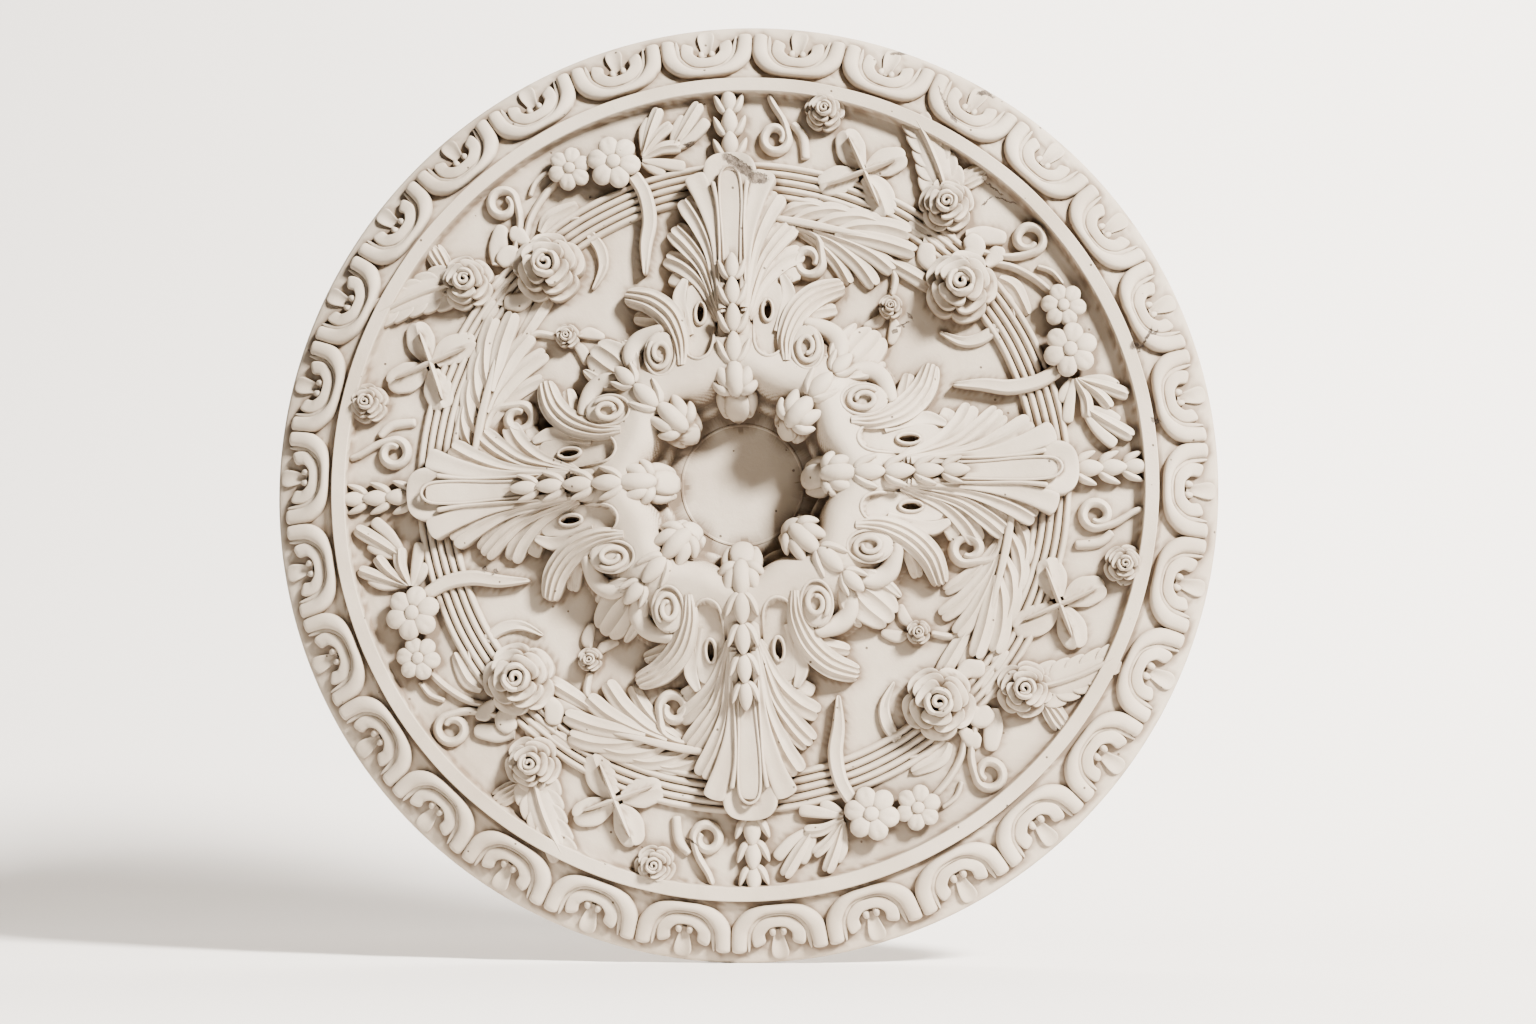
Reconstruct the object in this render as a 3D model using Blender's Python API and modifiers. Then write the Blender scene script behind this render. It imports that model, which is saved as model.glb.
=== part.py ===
"""A plaster ceiling rose: one round casting with a flat back and a deep centre.

The rose is drawn lying on its back and then stood up, so that the flat back is
the plane Y = 0, the ornament faces -Y and +Z is up. The origin is the middle of
the back. The ornament is one quarter, turned four times about the middle, and
the rim is one leaf, turned thirty times.

In the drawing X runs clockwise along the rim of the top quarter, Y runs outward
along the axis of its acanthus leaf, and Z is the height above the back.
"""

import math

import bmesh
import bpy
from mathutils import Matrix, Vector

# Driving dimensions in millimetres, and the scale to Blender's metres
MM = 0.001
DIAMETER = 900.0
RIM_WIDTH = 55.0
EDGE_THICKNESS = 9.0
RIM_HEIGHT = 27.0
FILLET_WIDTH = 14.0
FILLET_HEIGHT = 36.0
COVE_WIDTH = 6.0
FIELD_HEIGHT = 22.0
REED_COUNT = 5
REED_WIDTH = 7.4
REED_HEIGHT = 7.0
REED_RING_RADIUS = 293.5
SHOULDER_HEIGHT = 76.0
SHOULDER_RADIUS = 104.0
SHOULDER_FOOT_RADIUS = 178.0
RECESS_RADIUS = 72.0
RECESS_THICKNESS = 11.0
RECESS_STEP = 14.0
SEAT_RADIUS = 52.0
SEAT_HEIGHT = 1.0

# Shares of the shoulders' height: the top of the recess wall, and the rounding on both sides of the crown
WALL_TOP = 0.62
CROWN_ROUND = 0.84

# Share of a reed's height that stands between two reeds
REED_VALLEY = 0.3

# How far a rooted shape goes into what carries it, so that the two are one casting
ROOT = 3.0

# Counts of the pattern and of the facets
QUARTERS = 4
RIM_LEAVES = 30
RIM_LEAF_OFFSET = math.radians(9.2)
DISC_SIDES = 48
RING_SIDES = 28
SEAT_SIDES = 33
FACETS_KEPT = 0.50
LOBES = 8
LOBE_SIDES = 4
LOBE_DEPTH = 0.05

# The carving keeps its places as shares of the rose's radius
RADIUS = DIAMETER / 2
DRAWN_RADIUS = 450.0
SHARE = RADIUS / DRAWN_RADIUS

# Radii that follow from the driving dimensions
RIM_INNER_RADIUS = RADIUS - RIM_WIDTH
FILLET_INNER_RADIUS = RIM_INNER_RADIUS - FILLET_WIDTH
FIELD_RADIUS = FILLET_INNER_RADIUS - COVE_WIDTH

PLASTER_COLOUR = (0.80, 0.76, 0.70, 1.0)
PLASTER_ROUGHNESS = 0.85

# Cross-sections of a strand, as (across, up) on a half width and a height
RIDGE = ((1.0, -0.5), (0.0, 1.0), (-1.0, -0.5))
STRAP = ((1.0, -0.6), (0.7, 1.0), (-0.7, 1.0), (-1.0, -0.6))
BLOCK = ((1.0, -3.5), (0.75, 1.0), (-0.75, 1.0), (-1.0, -3.5))
HUSK = ((1.0, -0.5), (0.42, 0.05), (0.0, 1.0), (-0.42, 0.05), (-1.0, -0.5))
DOUBLE = ((1.0, -0.7), (0.6, 1.0), (0.1, 0.1), (-0.45, 0.8), (-1.0, -0.7))


def clear_scene():
    for item in list(bpy.data.objects):
        bpy.data.objects.remove(item, do_unlink=True)


def plaster():
    material = bpy.data.materials.new("plaster")
    material.use_nodes = True
    shader = material.node_tree.nodes["Principled BSDF"]
    shader.inputs["Base Color"].default_value = PLASTER_COLOUR
    shader.inputs["Roughness"].default_value = PLASTER_ROUGHNESS
    shader.inputs["Metallic"].default_value = 0.0
    return material


def standing():
    """Turns the drawing, which lies on its back in millimetres, into the upright rose in metres."""
    return Matrix.Rotation(math.radians(90), 4, "X") @ Matrix.Scale(MM, 4)


def add_cutter(name, bm, collection):
    """Adds a finished shape. Its faces are triangles, because a twisted quad has no one plane to cut."""
    bmesh.ops.recalc_face_normals(bm, faces=bm.faces)
    bmesh.ops.triangulate(bm, faces=bm.faces)
    bm.transform(standing())
    mesh = bpy.data.meshes.new(name)
    bm.to_mesh(mesh)
    bm.free()
    made = bpy.data.objects.new(name, mesh)
    made.hide_render = True
    made.display_type = "WIRE"
    collection.objects.link(made)
    return made


# The turned bodies

def front_profile():
    """The front of the plate, from the middle of the recess to the edge, as (radius, height)."""
    return [
        (0.0, RECESS_THICKNESS - SEAT_HEIGHT),
        (RECESS_RADIUS * SHARE + RECESS_STEP, RECESS_THICKNESS - SEAT_HEIGHT),
        (SHOULDER_RADIUS * SHARE + RECESS_STEP, FIELD_HEIGHT),
        (FIELD_RADIUS, FIELD_HEIGHT),
        (FILLET_INNER_RADIUS, FILLET_HEIGHT),
        (RIM_INNER_RADIUS - COVE_WIDTH / 2, FILLET_HEIGHT),
        (RIM_INNER_RADIUS, RIM_HEIGHT),
        (RADIUS, EDGE_THICKNESS),
    ]


def ground(radius):
    """Height of the plate's front at a radius."""
    points = front_profile()
    for (r0, h0), (r1, h1) in zip(points, points[1:]):
        if r0 <= radius <= r1:
            return h0 + (h1 - h0) * (radius - r0) / (r1 - r0)
    return EDGE_THICKNESS


def plate(collection):
    """The plate of the rose: a profile from the middle of the front round to the middle of the back."""
    bm = bmesh.new()
    outline = front_profile() + [(RADIUS, 0.0), (0.0, 0.0)]
    corners = [bm.verts.new((r * MM, 0.0, h * MM)) for r, h in outline]
    for start, end in zip(corners, corners[1:]):
        bm.edges.new((start, end))
    mesh = bpy.data.meshes.new("ceiling_rose")
    bm.to_mesh(mesh)
    bm.free()
    body = bpy.data.objects.new("ceiling_rose", mesh)
    body.rotation_euler = (math.radians(90), 0, 0)
    collection.objects.link(body)
    screw = body.modifiers.new("turned", "SCREW")
    screw.steps = DISC_SIDES
    screw.render_steps = DISC_SIDES
    screw.use_merge_vertices = True
    screw.merge_threshold = 0.00001
    screw.use_smooth_shade = False
    return body


def turned_ring(outline, sides):
    """A ring whose closed outline of (radius, height) is spun about the middle of the rose."""
    bm = bmesh.new()
    corners = [bm.verts.new((r, 0.0, h)) for r, h in outline]
    edges = [bm.edges.new((corners[i - 1], corners[i])) for i in range(len(corners))]
    bmesh.ops.spin(
        bm,
        geom=corners + edges,
        cent=(0, 0, 0),
        axis=(0, 0, 1),
        angle=math.tau,
        steps=sides,
        use_merge=True,
    )
    return bm


def reeds():
    """The reeds in a ring, standing on the field."""
    half = REED_COUNT * REED_WIDTH / 2
    middle = REED_RING_RADIUS * SHARE
    outline = [(middle + half, FIELD_HEIGHT - ROOT)]
    for reed in range(REED_COUNT):
        outer = middle + half - reed * REED_WIDTH
        outline.append((outer - REED_WIDTH / 2, FIELD_HEIGHT + REED_HEIGHT))
        if reed < REED_COUNT - 1:
            outline.append((outer - REED_WIDTH, FIELD_HEIGHT + REED_HEIGHT * REED_VALLEY))
    outline.append((middle - half, FIELD_HEIGHT - ROOT))
    return turned_ring(outline, RING_SIDES)


def shoulders():
    """The rounded shoulders round the recess: one turned ring whose radius swells at each of them."""
    wall = RECESS_RADIUS * SHARE
    crown = SHOULDER_RADIUS * SHARE
    foot = SHOULDER_FOOT_RADIUS * SHARE
    outline = [
        (wall, RECESS_THICKNESS - ROOT),
        (wall, SHOULDER_HEIGHT * WALL_TOP),
        (wall + RECESS_STEP, SHOULDER_HEIGHT * CROWN_ROUND),
        (crown, SHOULDER_HEIGHT),
        (crown + (foot - crown) * 0.4, SHOULDER_HEIGHT * CROWN_ROUND),
        (foot, FIELD_HEIGHT - ROOT),
    ]
    bm = turned_ring(outline, LOBES * LOBE_SIDES)
    for v in bm.verts:
        swell = LOBE_DEPTH * math.cos(LOBES * math.atan2(v.co.y, v.co.x))
        v.co.x *= 1 + swell
        v.co.y *= 1 + swell
    return bm


def canopy_seat():
    """The low round table in the middle of the recess that a lamp's canopy lies on."""
    bm = bmesh.new()
    bmesh.ops.create_cone(
        bm,
        cap_ends=True,
        segments=SEAT_SIDES,
        radius1=SEAT_RADIUS * SHARE,
        radius2=SEAT_RADIUS * SHARE,
        depth=RECESS_THICKNESS / 2,
        matrix=Matrix.Translation((0, 0, RECESS_THICKNESS * 0.75)),
    )
    return bm


# Shapes that the ornament is built from

def along(points, t):
    """A place on a smooth line through the points, with t from 0 to 1."""
    last = len(points) - 1
    span = min(int(t * last), last - 1)
    u = t * last - span
    p0 = Vector(points[max(span - 1, 0)])
    p1 = Vector(points[span])
    p2 = Vector(points[span + 1])
    p3 = Vector(points[min(span + 2, last)])
    bend = (p2 - p0) * u + (2 * p0 - 5 * p1 + 4 * p2 - p3) * u * u + (3 * p1 - p0 - 3 * p2 + p3) * u**3
    return p1 + bend / 2


def leaf_sizes(width, height, rings, blunt=0.6):
    """Half widths and heights of the rings between a leaf's two ends. blunt near 0 keeps the ends wide."""
    full = [math.sin(math.pi * ring / (rings + 1)) ** blunt for ring in range(1, rings + 1)]
    return [(width * f, height * (0.4 + 0.6 * f)) for f in full]


def strand(points, sizes, section=RIDGE):
    """A leaf, chain, strap or stem: a sphere whose rings are drawn out along a path.

    points are (x, y, height of the axis), and sizes gives each ring's half width and height.
    """
    bm = bmesh.new()
    rings = len(sizes)
    ball = bmesh.ops.create_uvsphere(bm, u_segments=len(section), v_segments=rings + 1, radius=1.0)
    for v in ball["verts"]:
        ring = round(math.acos(max(-1.0, min(1.0, -v.co.z))) / math.pi * (rings + 1))
        corner = round(math.atan2(v.co.y, v.co.x) / math.tau * len(section)) % len(section)
        t = ring / (rings + 1)
        place = along(points, t)
        if 0 < ring <= rings:
            ahead = along(points, min(t + 0.02, 1.0)) - along(points, max(t - 0.02, 0.0))
            across = Vector((-ahead.y, ahead.x, 0.0)).normalized() * section[corner][0]
            width, height = sizes[ring - 1]
            place += across * width
            place.z += section[corner][1] * height
        v.co = (place.x * SHARE, place.y * SHARE, place.z)
    return bm


def fan(ribs, depth, spans=2, foot=FIELD_HEIGHT - ROOT):
    """A fluted leaf: a sheet that is folded into ribs with valleys between them, and sides down to its foot.

    Each rib is a path of (x, y, height), from its root to its tip, and the ribs go from one
    edge of the leaf to the other.
    """
    bm = bmesh.new()
    rows = 2 * len(ribs) - 2
    sheet = bmesh.ops.create_grid(bm, x_segments=rows, y_segments=spans, size=1.0)["verts"]
    faces = {face for v in sheet for face in v.link_faces}
    for v in sheet:
        row = round((v.co.x + 1) / 2 * rows)
        t = (v.co.y + 1) / 2
        if row % 2:
            inner = t * 0.9
            place = (along(ribs[row // 2], inner) + along(ribs[row // 2 + 1], inner)) / 2
            place.z -= depth
        else:
            place = along(ribs[row // 2], t)
        v.co = (place.x * SHARE, place.y * SHARE, place.z)
    edges = {edge for face in faces for edge in face.edges if edge.is_boundary}
    sides = bmesh.ops.extrude_edge_only(bm, edges=list(edges))["geom"]
    for v in sides:
        if isinstance(v, bmesh.types.BMVert):
            v.co.z = foot
    bmesh.ops.holes_fill(bm, edges=[e for e in sides if isinstance(e, bmesh.types.BMEdge) and e.is_boundary])
    return bm


def flower(centre, rings, sides, notch=0.0, stretch=1.0):
    """A rose, blossom or volute eye: a sphere whose rings are moved to (radius, height) pairs.

    The pairs run from the heart to the foot. notch draws in every second corner, between petals.
    """
    bm = bmesh.new()
    count = len(rings)
    ball = bmesh.ops.create_uvsphere(bm, u_segments=sides, v_segments=count, radius=1.0)
    for v in ball["verts"]:
        ring = round(math.acos(max(-1.0, min(1.0, v.co.z))) / math.pi * count)
        corner = round(math.atan2(v.co.y, v.co.x) / math.tau * sides) % sides
        radius, height = rings[min(ring, count - 1)]
        if ring == count:
            radius = 0.0
        if corner % 2:
            radius *= 1 - notch * min(1.0, ring / 3)
        angle = math.tau * corner / sides
        x = centre[0] + radius * math.sin(angle)
        y = centre[1] + radius * math.cos(angle) * stretch
        v.co = (x * SHARE, y * SHARE, height)
    return bm


def at_height(points, height):
    return [(x, y, height) for x, y in points]


def turned(points, angle, centre=(0.0, 0.0)):
    """Points drawn about (0, 0) and pointing along +Y, turned clockwise and moved to a centre."""
    c, s = math.cos(angle), math.sin(angle)
    return [(centre[0] + x * c + y * s, centre[1] - x * s + y * c, h) for x, y, h in points]


def repeated(bm, copies):
    """Turns what the mesh holds into a ring of copies about the middle of the rose."""
    bmesh.ops.spin(
        bm,
        geom=bm.verts[:] + bm.edges[:] + bm.faces[:],
        cent=(0, 0, 0),
        axis=(0, 0, 1),
        angle=-math.tau * (copies - 1) / copies,
        steps=copies - 1,
        use_duplicate=True,
    )
    return bm


# The ornament. Each shape is one closed body, so that the union joins every two that meet

def rim_leaves():
    """The leaves of the rim: a double U strap with a tongue between its arms."""
    pitch = math.tau / RIM_LEAVES
    inner = RIM_INNER_RADIUS + RIM_WIDTH * 0.15
    outer = RADIUS - RIM_WIDTH * 0.07
    deep = outer - inner

    def on_rim(reach, turn, lift):
        radius = inner + deep * reach
        angle = RIM_LEAF_OFFSET + turn * pitch
        return (radius * math.sin(angle) / SHARE, radius * math.cos(angle) / SHARE, ground(radius) + lift)

    strap = [
        on_rim(1.0, -0.38, 0.0),
        on_rim(0.45, -0.36, 2.0),
        on_rim(0.04, -0.14, 2.0),
        on_rim(0.04, 0.14, 2.0),
        on_rim(0.45, 0.36, 2.0),
        on_rim(1.0, 0.38, 0.0),
    ]
    yield strand(strap, leaf_sizes(9.5, 8.0, 4, 0.2), DOUBLE)
    tongue = [on_rim(0.42, 0.0, 0.0), on_rim(0.98, 0.0, 2.0)]
    yield strand(tongue, leaf_sizes(8.5, 7.0, 2, 0.5))


def chain(points, husks, widths, height, angle=0.0):
    """A chain of husks as one strand, which widens at each husk and narrows between them."""
    sizes = []
    for husk in range(husks):
        width = widths[0] + (widths[1] - widths[0]) * husk / max(husks - 1, 1)
        sizes += [(width, height), (width * 0.35, height * 0.45)]
    return strand(turned(points, angle), sizes[:-1], HUSK)


def husk_chains():
    """The husks outside the acanthus, those that lie on it, those on the diagonal and the cups that end them."""
    low = FIELD_HEIGHT + ROOT
    yield chain([(0, 306, low + 4), (0, 350, low), (0, 388, low + 2)], 3, (17, 13), 11)
    yield chain([(0, 214, 52), (0, 175, 60), (0, 140, 68), (0, 80, 72)], 5, (13, 20), 11)
    diagonal = math.radians(45)
    yield chain([(0, 152, 58), (0, 120, 66), (0, 78, 70)], 3, (13, 17), 11, diagonal)
    for angle in (0.0, diagonal):
        cup = [(0, 53, 38), (0, 68, 46), (0, 88, 58)]
        yield strand(turned(cup, angle), leaf_sizes(18, 12, 3, 0.4), STRAP)
    leaf = (
        [(-8, 140, 56), (-20, 155, 42), (-20, 178, 28)],
        [(-3, 140, 64), (-8, 162, 54), (-7, 186, 36)],
        [(3, 140, 64), (8, 162, 54), (7, 186, 36)],
        [(8, 140, 56), (20, 155, 42), (20, 178, 28)],
    )
    yield fan([turned(rib, diagonal) for rib in leaf], 5, spans=1)


def acanthus_leaves():
    """The broad leaf on each axis: a stem with an overhanging tip, and blades that fan out to both sides."""
    stem = [(0, 108, 62), (0, 160, 54), (0, 210, 42), (0, 260, 38), (0, 318, 40)]
    yield strand(stem, [(14, 8), (16, 8), (24, 8), (26, 8)], BLOCK)
    tongue = [(0, 204, 46), (0, 294, 46)]
    yield strand(tongue, leaf_sizes(11, 8, 2, 0.3), STRAP)
    blades = (
        [(12, 138, 62), (24, 215, 47), (36, 291, 40)],
        [(14, 137, 62), (30, 202, 47), (45, 269, 39)],
        [(16, 136, 62), (35, 190, 47), (56, 246, 38)],
        [(18, 135, 62), (38, 178, 47), (62, 225, 37)],
        [(20, 134, 62), (38, 166, 47), (57, 202, 35)],
    )
    edge = [(19, 172, 52), (18, 130, 66), (30, 112, 70), (43, 130, 64), (50, 194, 32)]
    for side in (-1, 1):
        yield fan([[(side * x, y, h) for x, y, h in rib] for rib in blades], 8, spans=2)
        yield strand([(side * x, y, h) for x, y, h in edge], leaf_sizes(5, 9, 3, 0.3))


def volutes():
    """The scroll on each side of an acanthus: a rolled eye, and a leaf that sweeps back from it."""
    rolled = ((0.0, 66.0), (13.0, 77.0), (21.0, FIELD_HEIGHT - ROOT))
    sweep = (
        ((50, 114, 60), (56, 158, 46), (106, 186, 26), 9.0),
        ((58, 132, 56), (72, 158, 40), (100, 164, 24), 8.0),
    )
    for side in (-1, 1):
        for *path, width in sweep:
            yield strand([(side * x, y, h) for x, y, h in path], leaf_sizes(width, 12, 3, 0.5))
        yield flower((side * 71, 120), rolled, 8, stretch=1.3)


def rose_rings(radius, height):
    """A rolled heart, a gap and an outer ring of petals, down to the field."""
    base = FIELD_HEIGHT
    return (
        (0.0, base + height * 0.7),
        (radius * 0.42, base + height),
        (radius * 0.55, base + height * 0.5),
        (radius * 0.95, base + height * 0.75),
        (radius, base - ROOT),
    )


def blossom_rings(radius, height):
    """A ball, a groove and a rim of petals, down to the field."""
    base = FIELD_HEIGHT
    return (
        (0.0, base + height),
        (radius * 0.38, base + height * 0.45),
        (radius * 0.95, base + height * 0.65),
        (radius, base - ROOT),
    )


def flowers():
    """The roses, the bud and the blossoms of the garland."""
    roses = (((215, 178), 32, 43), ((205, 258), 25, 32), ((92, 356), 19, 24), ((148, 162), 12, 18))
    for centre, radius, height in roses:
        yield flower(centre, rose_rings(radius, height), 5)
    for centre, radius, height in (((315, 112), 26, 24), ((311, 155), 21, 19)):
        yield flower(centre, blossom_rings(radius, height), 12, notch=0.35)


def tendril(stem, centre, radius, first, last, width):
    """A stem that rolls into a ring. The angles are clockwise from the axis, in degrees."""
    steps = 4
    path = list(stem)
    for step in range(steps + 1):
        angle = math.radians(first + (last - first) * step / steps)
        path.append((centre[0] + radius * math.sin(angle), centre[1] + radius * math.cos(angle)))
    return strand(at_height(path, FIELD_HEIGHT), leaf_sizes(width, 8.0, steps + 1, 0.2))


def tendrils():
    """The curling stems, the ribbon that crosses the reeds, the sickle and the straight stems."""
    yield tendril(((40, 375), (54, 350)), (44, 332), 12, 70, 350, 4.5)
    yield tendril(((235, 215), (262, 204)), (283, 222), 12, 170, -100, 4.5)
    yield tendril(((60, 240), (80, 236)), (72, 210), 12, 60, 340, 5.5)
    ribbon = [(306, 96), (282, 83), (256, 79), (230, 84), (206, 85)]
    yield strand(at_height(ribbon, FIELD_HEIGHT + 8), leaf_sizes(7, 8, 3, 0.3), STRAP)
    sickle = [(248, 139), (222, 127), (194, 137)]
    yield strand(at_height(sickle, FIELD_HEIGHT + 1), leaf_sizes(5, 8, 2))
    stems = (
        ((244, 200), (280, 190), (306, 164), 3.5),
        ((146, 204), (152, 190), (148, 172), 4.0),
        ((62, 345), (72, 330), (73, 310), 5.0),
    )
    for *route, width in stems:
        yield strand(at_height(route, FIELD_HEIGHT), leaf_sizes(width, 7, 2, 0.3))


def single_leaves():
    """The single leaves of the garland: the cross of four, those by the roses and those by the buds."""
    outlines = (
        ((124, 300), (114, 316), (110, 334), 9, 9),
        ((131, 299), (148, 305), (165, 309), 9, 9),
        ((121, 293), (104, 291), (86, 283), 9, 9),
        ((131, 291), (142, 276), (148, 254), 9, 9),
        ((204, 276), (190, 300), (178, 344), 12, 11),
        ((212, 276), (230, 280), (251, 292), 9, 10),
        ((222, 232), (238, 228), (260, 224), 8, 9),
        ((142, 158), (134, 150), (120, 146), 5, 8),
        ((148, 154), (150, 142), (146, 130), 5, 8),
        ((240, 192), (262, 172), (276, 150), 7, 7),
    )
    for *route, width, height in outlines:
        yield strand(at_height(route, FIELD_HEIGHT), leaf_sizes(width, height, 2))
    rods = (((115, 326), (127, 297), (139, 262)), ((94, 283), (126, 293), (156, 303)))
    for route in rods:
        yield strand(at_height(route, FIELD_HEIGHT + 7), leaf_sizes(2.5, 6, 2, 0.3))


def sprays():
    """The fluted sprays: the broad one between the acanthus and the roses, and the two beside the husks."""
    high = FIELD_HEIGHT + 10
    low = FIELD_HEIGHT + 4
    broad = (
        ((52, 250), (94, 262), (132, 246)),
        ((54, 247), (110, 246), (156, 230)),
        ((56, 244), (112, 236), (168, 218)),
        ((60, 240), (116, 220), (138, 184)),
        ((62, 236), (96, 208), (112, 184)),
    )
    yield fan([[(a, b, high), (c, d, high + 3), (e, f, low)] for (a, b), (c, d), (e, f) in broad], 5, spans=2)
    near = (
        ((-88, 324), (-78, 344), (-68, 366)),
        ((-86, 321), (-66, 342), (-48, 352)),
        ((-86, 318), (-68, 320), (-52, 322)),
        ((-88, 315), (-74, 308), (-60, 303)),
    )
    far = (
        ((-62, 336), (-56, 356), (-34, 374)),
        ((-60, 334), (-44, 346), (-24, 358)),
        ((-58, 330), (-40, 334), (-27, 340)),
    )
    for ribs in (near, far):
        yield fan([[(a, b, low + 2), (c, d, high), (e, f, low)] for (a, b), (c, d), (e, f) in ribs], 4, spans=1)
    small = [(160, 216, high), (176, 196, high), (192, 176, low)]
    yield strand(small, leaf_sizes(8, 8, 2))


def build():
    clear_scene()
    parts = bpy.data.collections.new("ceiling_rose")
    carving = bpy.data.collections.new("carving")
    fitting = bpy.data.collections.new("fitting")
    for collection in (parts, carving, fitting):
        bpy.context.scene.collection.children.link(collection)
    body = plate(parts)
    body.data.materials.append(plaster())
    ornament = (
        (rim_leaves, RIM_LEAVES),
        (husk_chains, QUARTERS),
        (acanthus_leaves, QUARTERS),
        (volutes, QUARTERS),
        (flowers, QUARTERS),
        (tendrils, QUARTERS),
        (single_leaves, QUARTERS),
        (sprays, QUARTERS),
    )
    add_cutter("reeds", reeds(), carving)
    add_cutter("shoulders", shoulders(), carving)
    for shapes, copies in ornament:
        for number, shape in enumerate(shapes()):
            add_cutter(f"{shapes.__name__}_{number}", repeated(shape, copies), carving)
    union = body.modifiers.new("one casting", "BOOLEAN")
    union.operation = "UNION"
    union.operand_type = "COLLECTION"
    union.collection = carving
    # EXACT leaves faces that touch along an edge where so many leaves cross
    union.solver = "MANIFOLD"
    thinned = body.modifiers.new("fewer facets", "DECIMATE")
    thinned.ratio = FACETS_KEPT
    # The seat comes after the facets are thinned, so that it stays flat and round
    seat = body.modifiers.new("canopy seat", "BOOLEAN")
    seat.operation = "UNION"
    seat.object = add_cutter("canopy_seat", canopy_seat(), fitting)
    seat.solver = "MANIFOLD"


build()
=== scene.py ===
# %% [markdown]
# A ceiling rose is one round plaster casting that hides the hole where a lamp hangs.
# This one stands on its rim in a studio: a rim of leaves, a raised fillet, a ring of
# reeds, four acanthus leaves round a deep recess, and a garland of flowers.
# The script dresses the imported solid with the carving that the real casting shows.

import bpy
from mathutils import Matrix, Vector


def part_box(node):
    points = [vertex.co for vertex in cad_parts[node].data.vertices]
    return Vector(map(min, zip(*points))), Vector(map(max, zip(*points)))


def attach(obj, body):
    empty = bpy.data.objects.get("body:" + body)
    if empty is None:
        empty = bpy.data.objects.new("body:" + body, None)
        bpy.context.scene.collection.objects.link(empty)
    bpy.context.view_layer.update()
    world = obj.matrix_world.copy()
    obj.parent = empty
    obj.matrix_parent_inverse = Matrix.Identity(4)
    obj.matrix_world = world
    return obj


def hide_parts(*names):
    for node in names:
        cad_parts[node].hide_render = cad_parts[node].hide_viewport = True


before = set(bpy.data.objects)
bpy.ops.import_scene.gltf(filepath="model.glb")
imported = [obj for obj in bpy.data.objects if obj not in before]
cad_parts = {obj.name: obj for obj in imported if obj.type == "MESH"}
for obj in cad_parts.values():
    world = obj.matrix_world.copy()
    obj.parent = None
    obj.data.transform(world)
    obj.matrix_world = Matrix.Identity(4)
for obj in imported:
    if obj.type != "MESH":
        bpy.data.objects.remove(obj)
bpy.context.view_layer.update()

# %% [markdown]
# All carving is drawn as it lies on the carver's bench: X runs clockwise along the rim
# of the top quarter, Y runs outward along the axis of its acanthus leaf, and the third
# number is the height above the flat back. The drawing is in millimetres. At the end
# each piece is stood up, so that the back is the plane Y = 0 and the ornament faces -Y.

# %% Modules and the sizes of the rose
import math

import bmesh
import bpy
import numpy as np
from mathutils import Matrix, Vector, noise

MM = 0.001
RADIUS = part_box("ceiling_rose")[1][0] / MM
EDGE_THICKNESS = 9.0
RIM_INNER_RADIUS = RADIUS - 55.0
RIM_HEIGHT = 27.0
FILLET_INNER_RADIUS = RIM_INNER_RADIUS - 14.0
FILLET_HEIGHT = 36.0
FIELD_RADIUS = FILLET_INNER_RADIUS - 6.0
FIELD_HEIGHT = 22.0
RECESS_THICKNESS = 11.0
FOOT = FIELD_HEIGHT - 3.0
QUARTERS = 4
RIM_LEAVES = 30
RIM_LEAF_OFFSET = 9.2
print("radius", RADIUS, "mm")

# %% [markdown]
# A material in Blender is a small network of nodes. Three helpers make the ones that
# come again: a node with its inputs fed, a node that calculates, and a ramp from one
# colour to another. Object coordinates keep every noise in one scale over all pieces,
# so the pieces read as one casting.

# %% Node helpers


def feed(tree, source, socket):
    """An input takes the output of another node, or else a fixed value."""
    if isinstance(source, bpy.types.NodeSocket):
        tree.links.new(source, socket)
    else:
        socket.default_value = source


def add_node(tree, kind, **sources):
    node = tree.nodes.new(kind)
    for name, source in sources.items():
        feed(tree, source, node.inputs[name.replace("_", " ")])
    return node


def calculate(tree, kind, operation, *sources):
    node = tree.nodes.new(kind)
    node.operation = operation
    for socket, source in zip(node.inputs, sources):
        feed(tree, source, socket)
    return node.outputs["Vector" if kind == "ShaderNodeVectorMath" and operation != "LENGTH" else "Value"]


def ramp_node(tree, source, low, high, first, last):
    node = add_node(tree, "ShaderNodeValToRGB", Fac=source)
    for element, place, colour in zip(node.color_ramp.elements, (low, high), (first, last)):
        element.position = place
        element.color = colour
    return node.outputs["Color"]


# %% [markdown]
# The real rose is chipped and cracked in places: the tip of the upper acanthus leaf is
# broken off, and hairline cracks cross the field. A mark is an ellipse, given by its
# x, z, slope in degrees, half length and half width in millimetres. Noise shakes the
# coordinates first, so that every edge is ragged. The marks belong to the material,
# because they are shallow and differ from quarter to quarter.

# %% Chips and cracks
SHAKE = 9.0
MARKS = (
    (8, 304, -38, 19, 6.0),
    (26, 290, -12, 10, 5.5),
    (208, 358, -72, 19, 0.9),
    (214, 344, -60, 9, 2.0),
    (245, 372, 20, 6, 2.5),
    (166, 415, 8, 9, 2.2),
    (250, 370, -35, 7, 1.6),
    (386, 119, 58, 15, 1.1),
    (376, 114, -70, 3.5, 5.0),
    (394, 126, 20, 6, 1.4),
    (391, 42, 80, 2.6, 4.5),
    (249, 276, -40, 13, 0.7),
    (262, 262, -20, 11, 0.7),
    (243, 262, 40, 7, 0.8),
    (158, 146, 25, 7, 1.1),
    (166, 154, -50, 4, 1.6),
    (151, 139, 0, 3, 1.8),
    (-248, -72, 0, 3.0, 3.2),
    (-238, -75, 0, 2.6, 2.8),
    (81, -23, 60, 8, 1.3),
    (-40, 331, 10, 6, 2.0),
    (-58, -335, -30, 8, 0.8),
)


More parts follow.
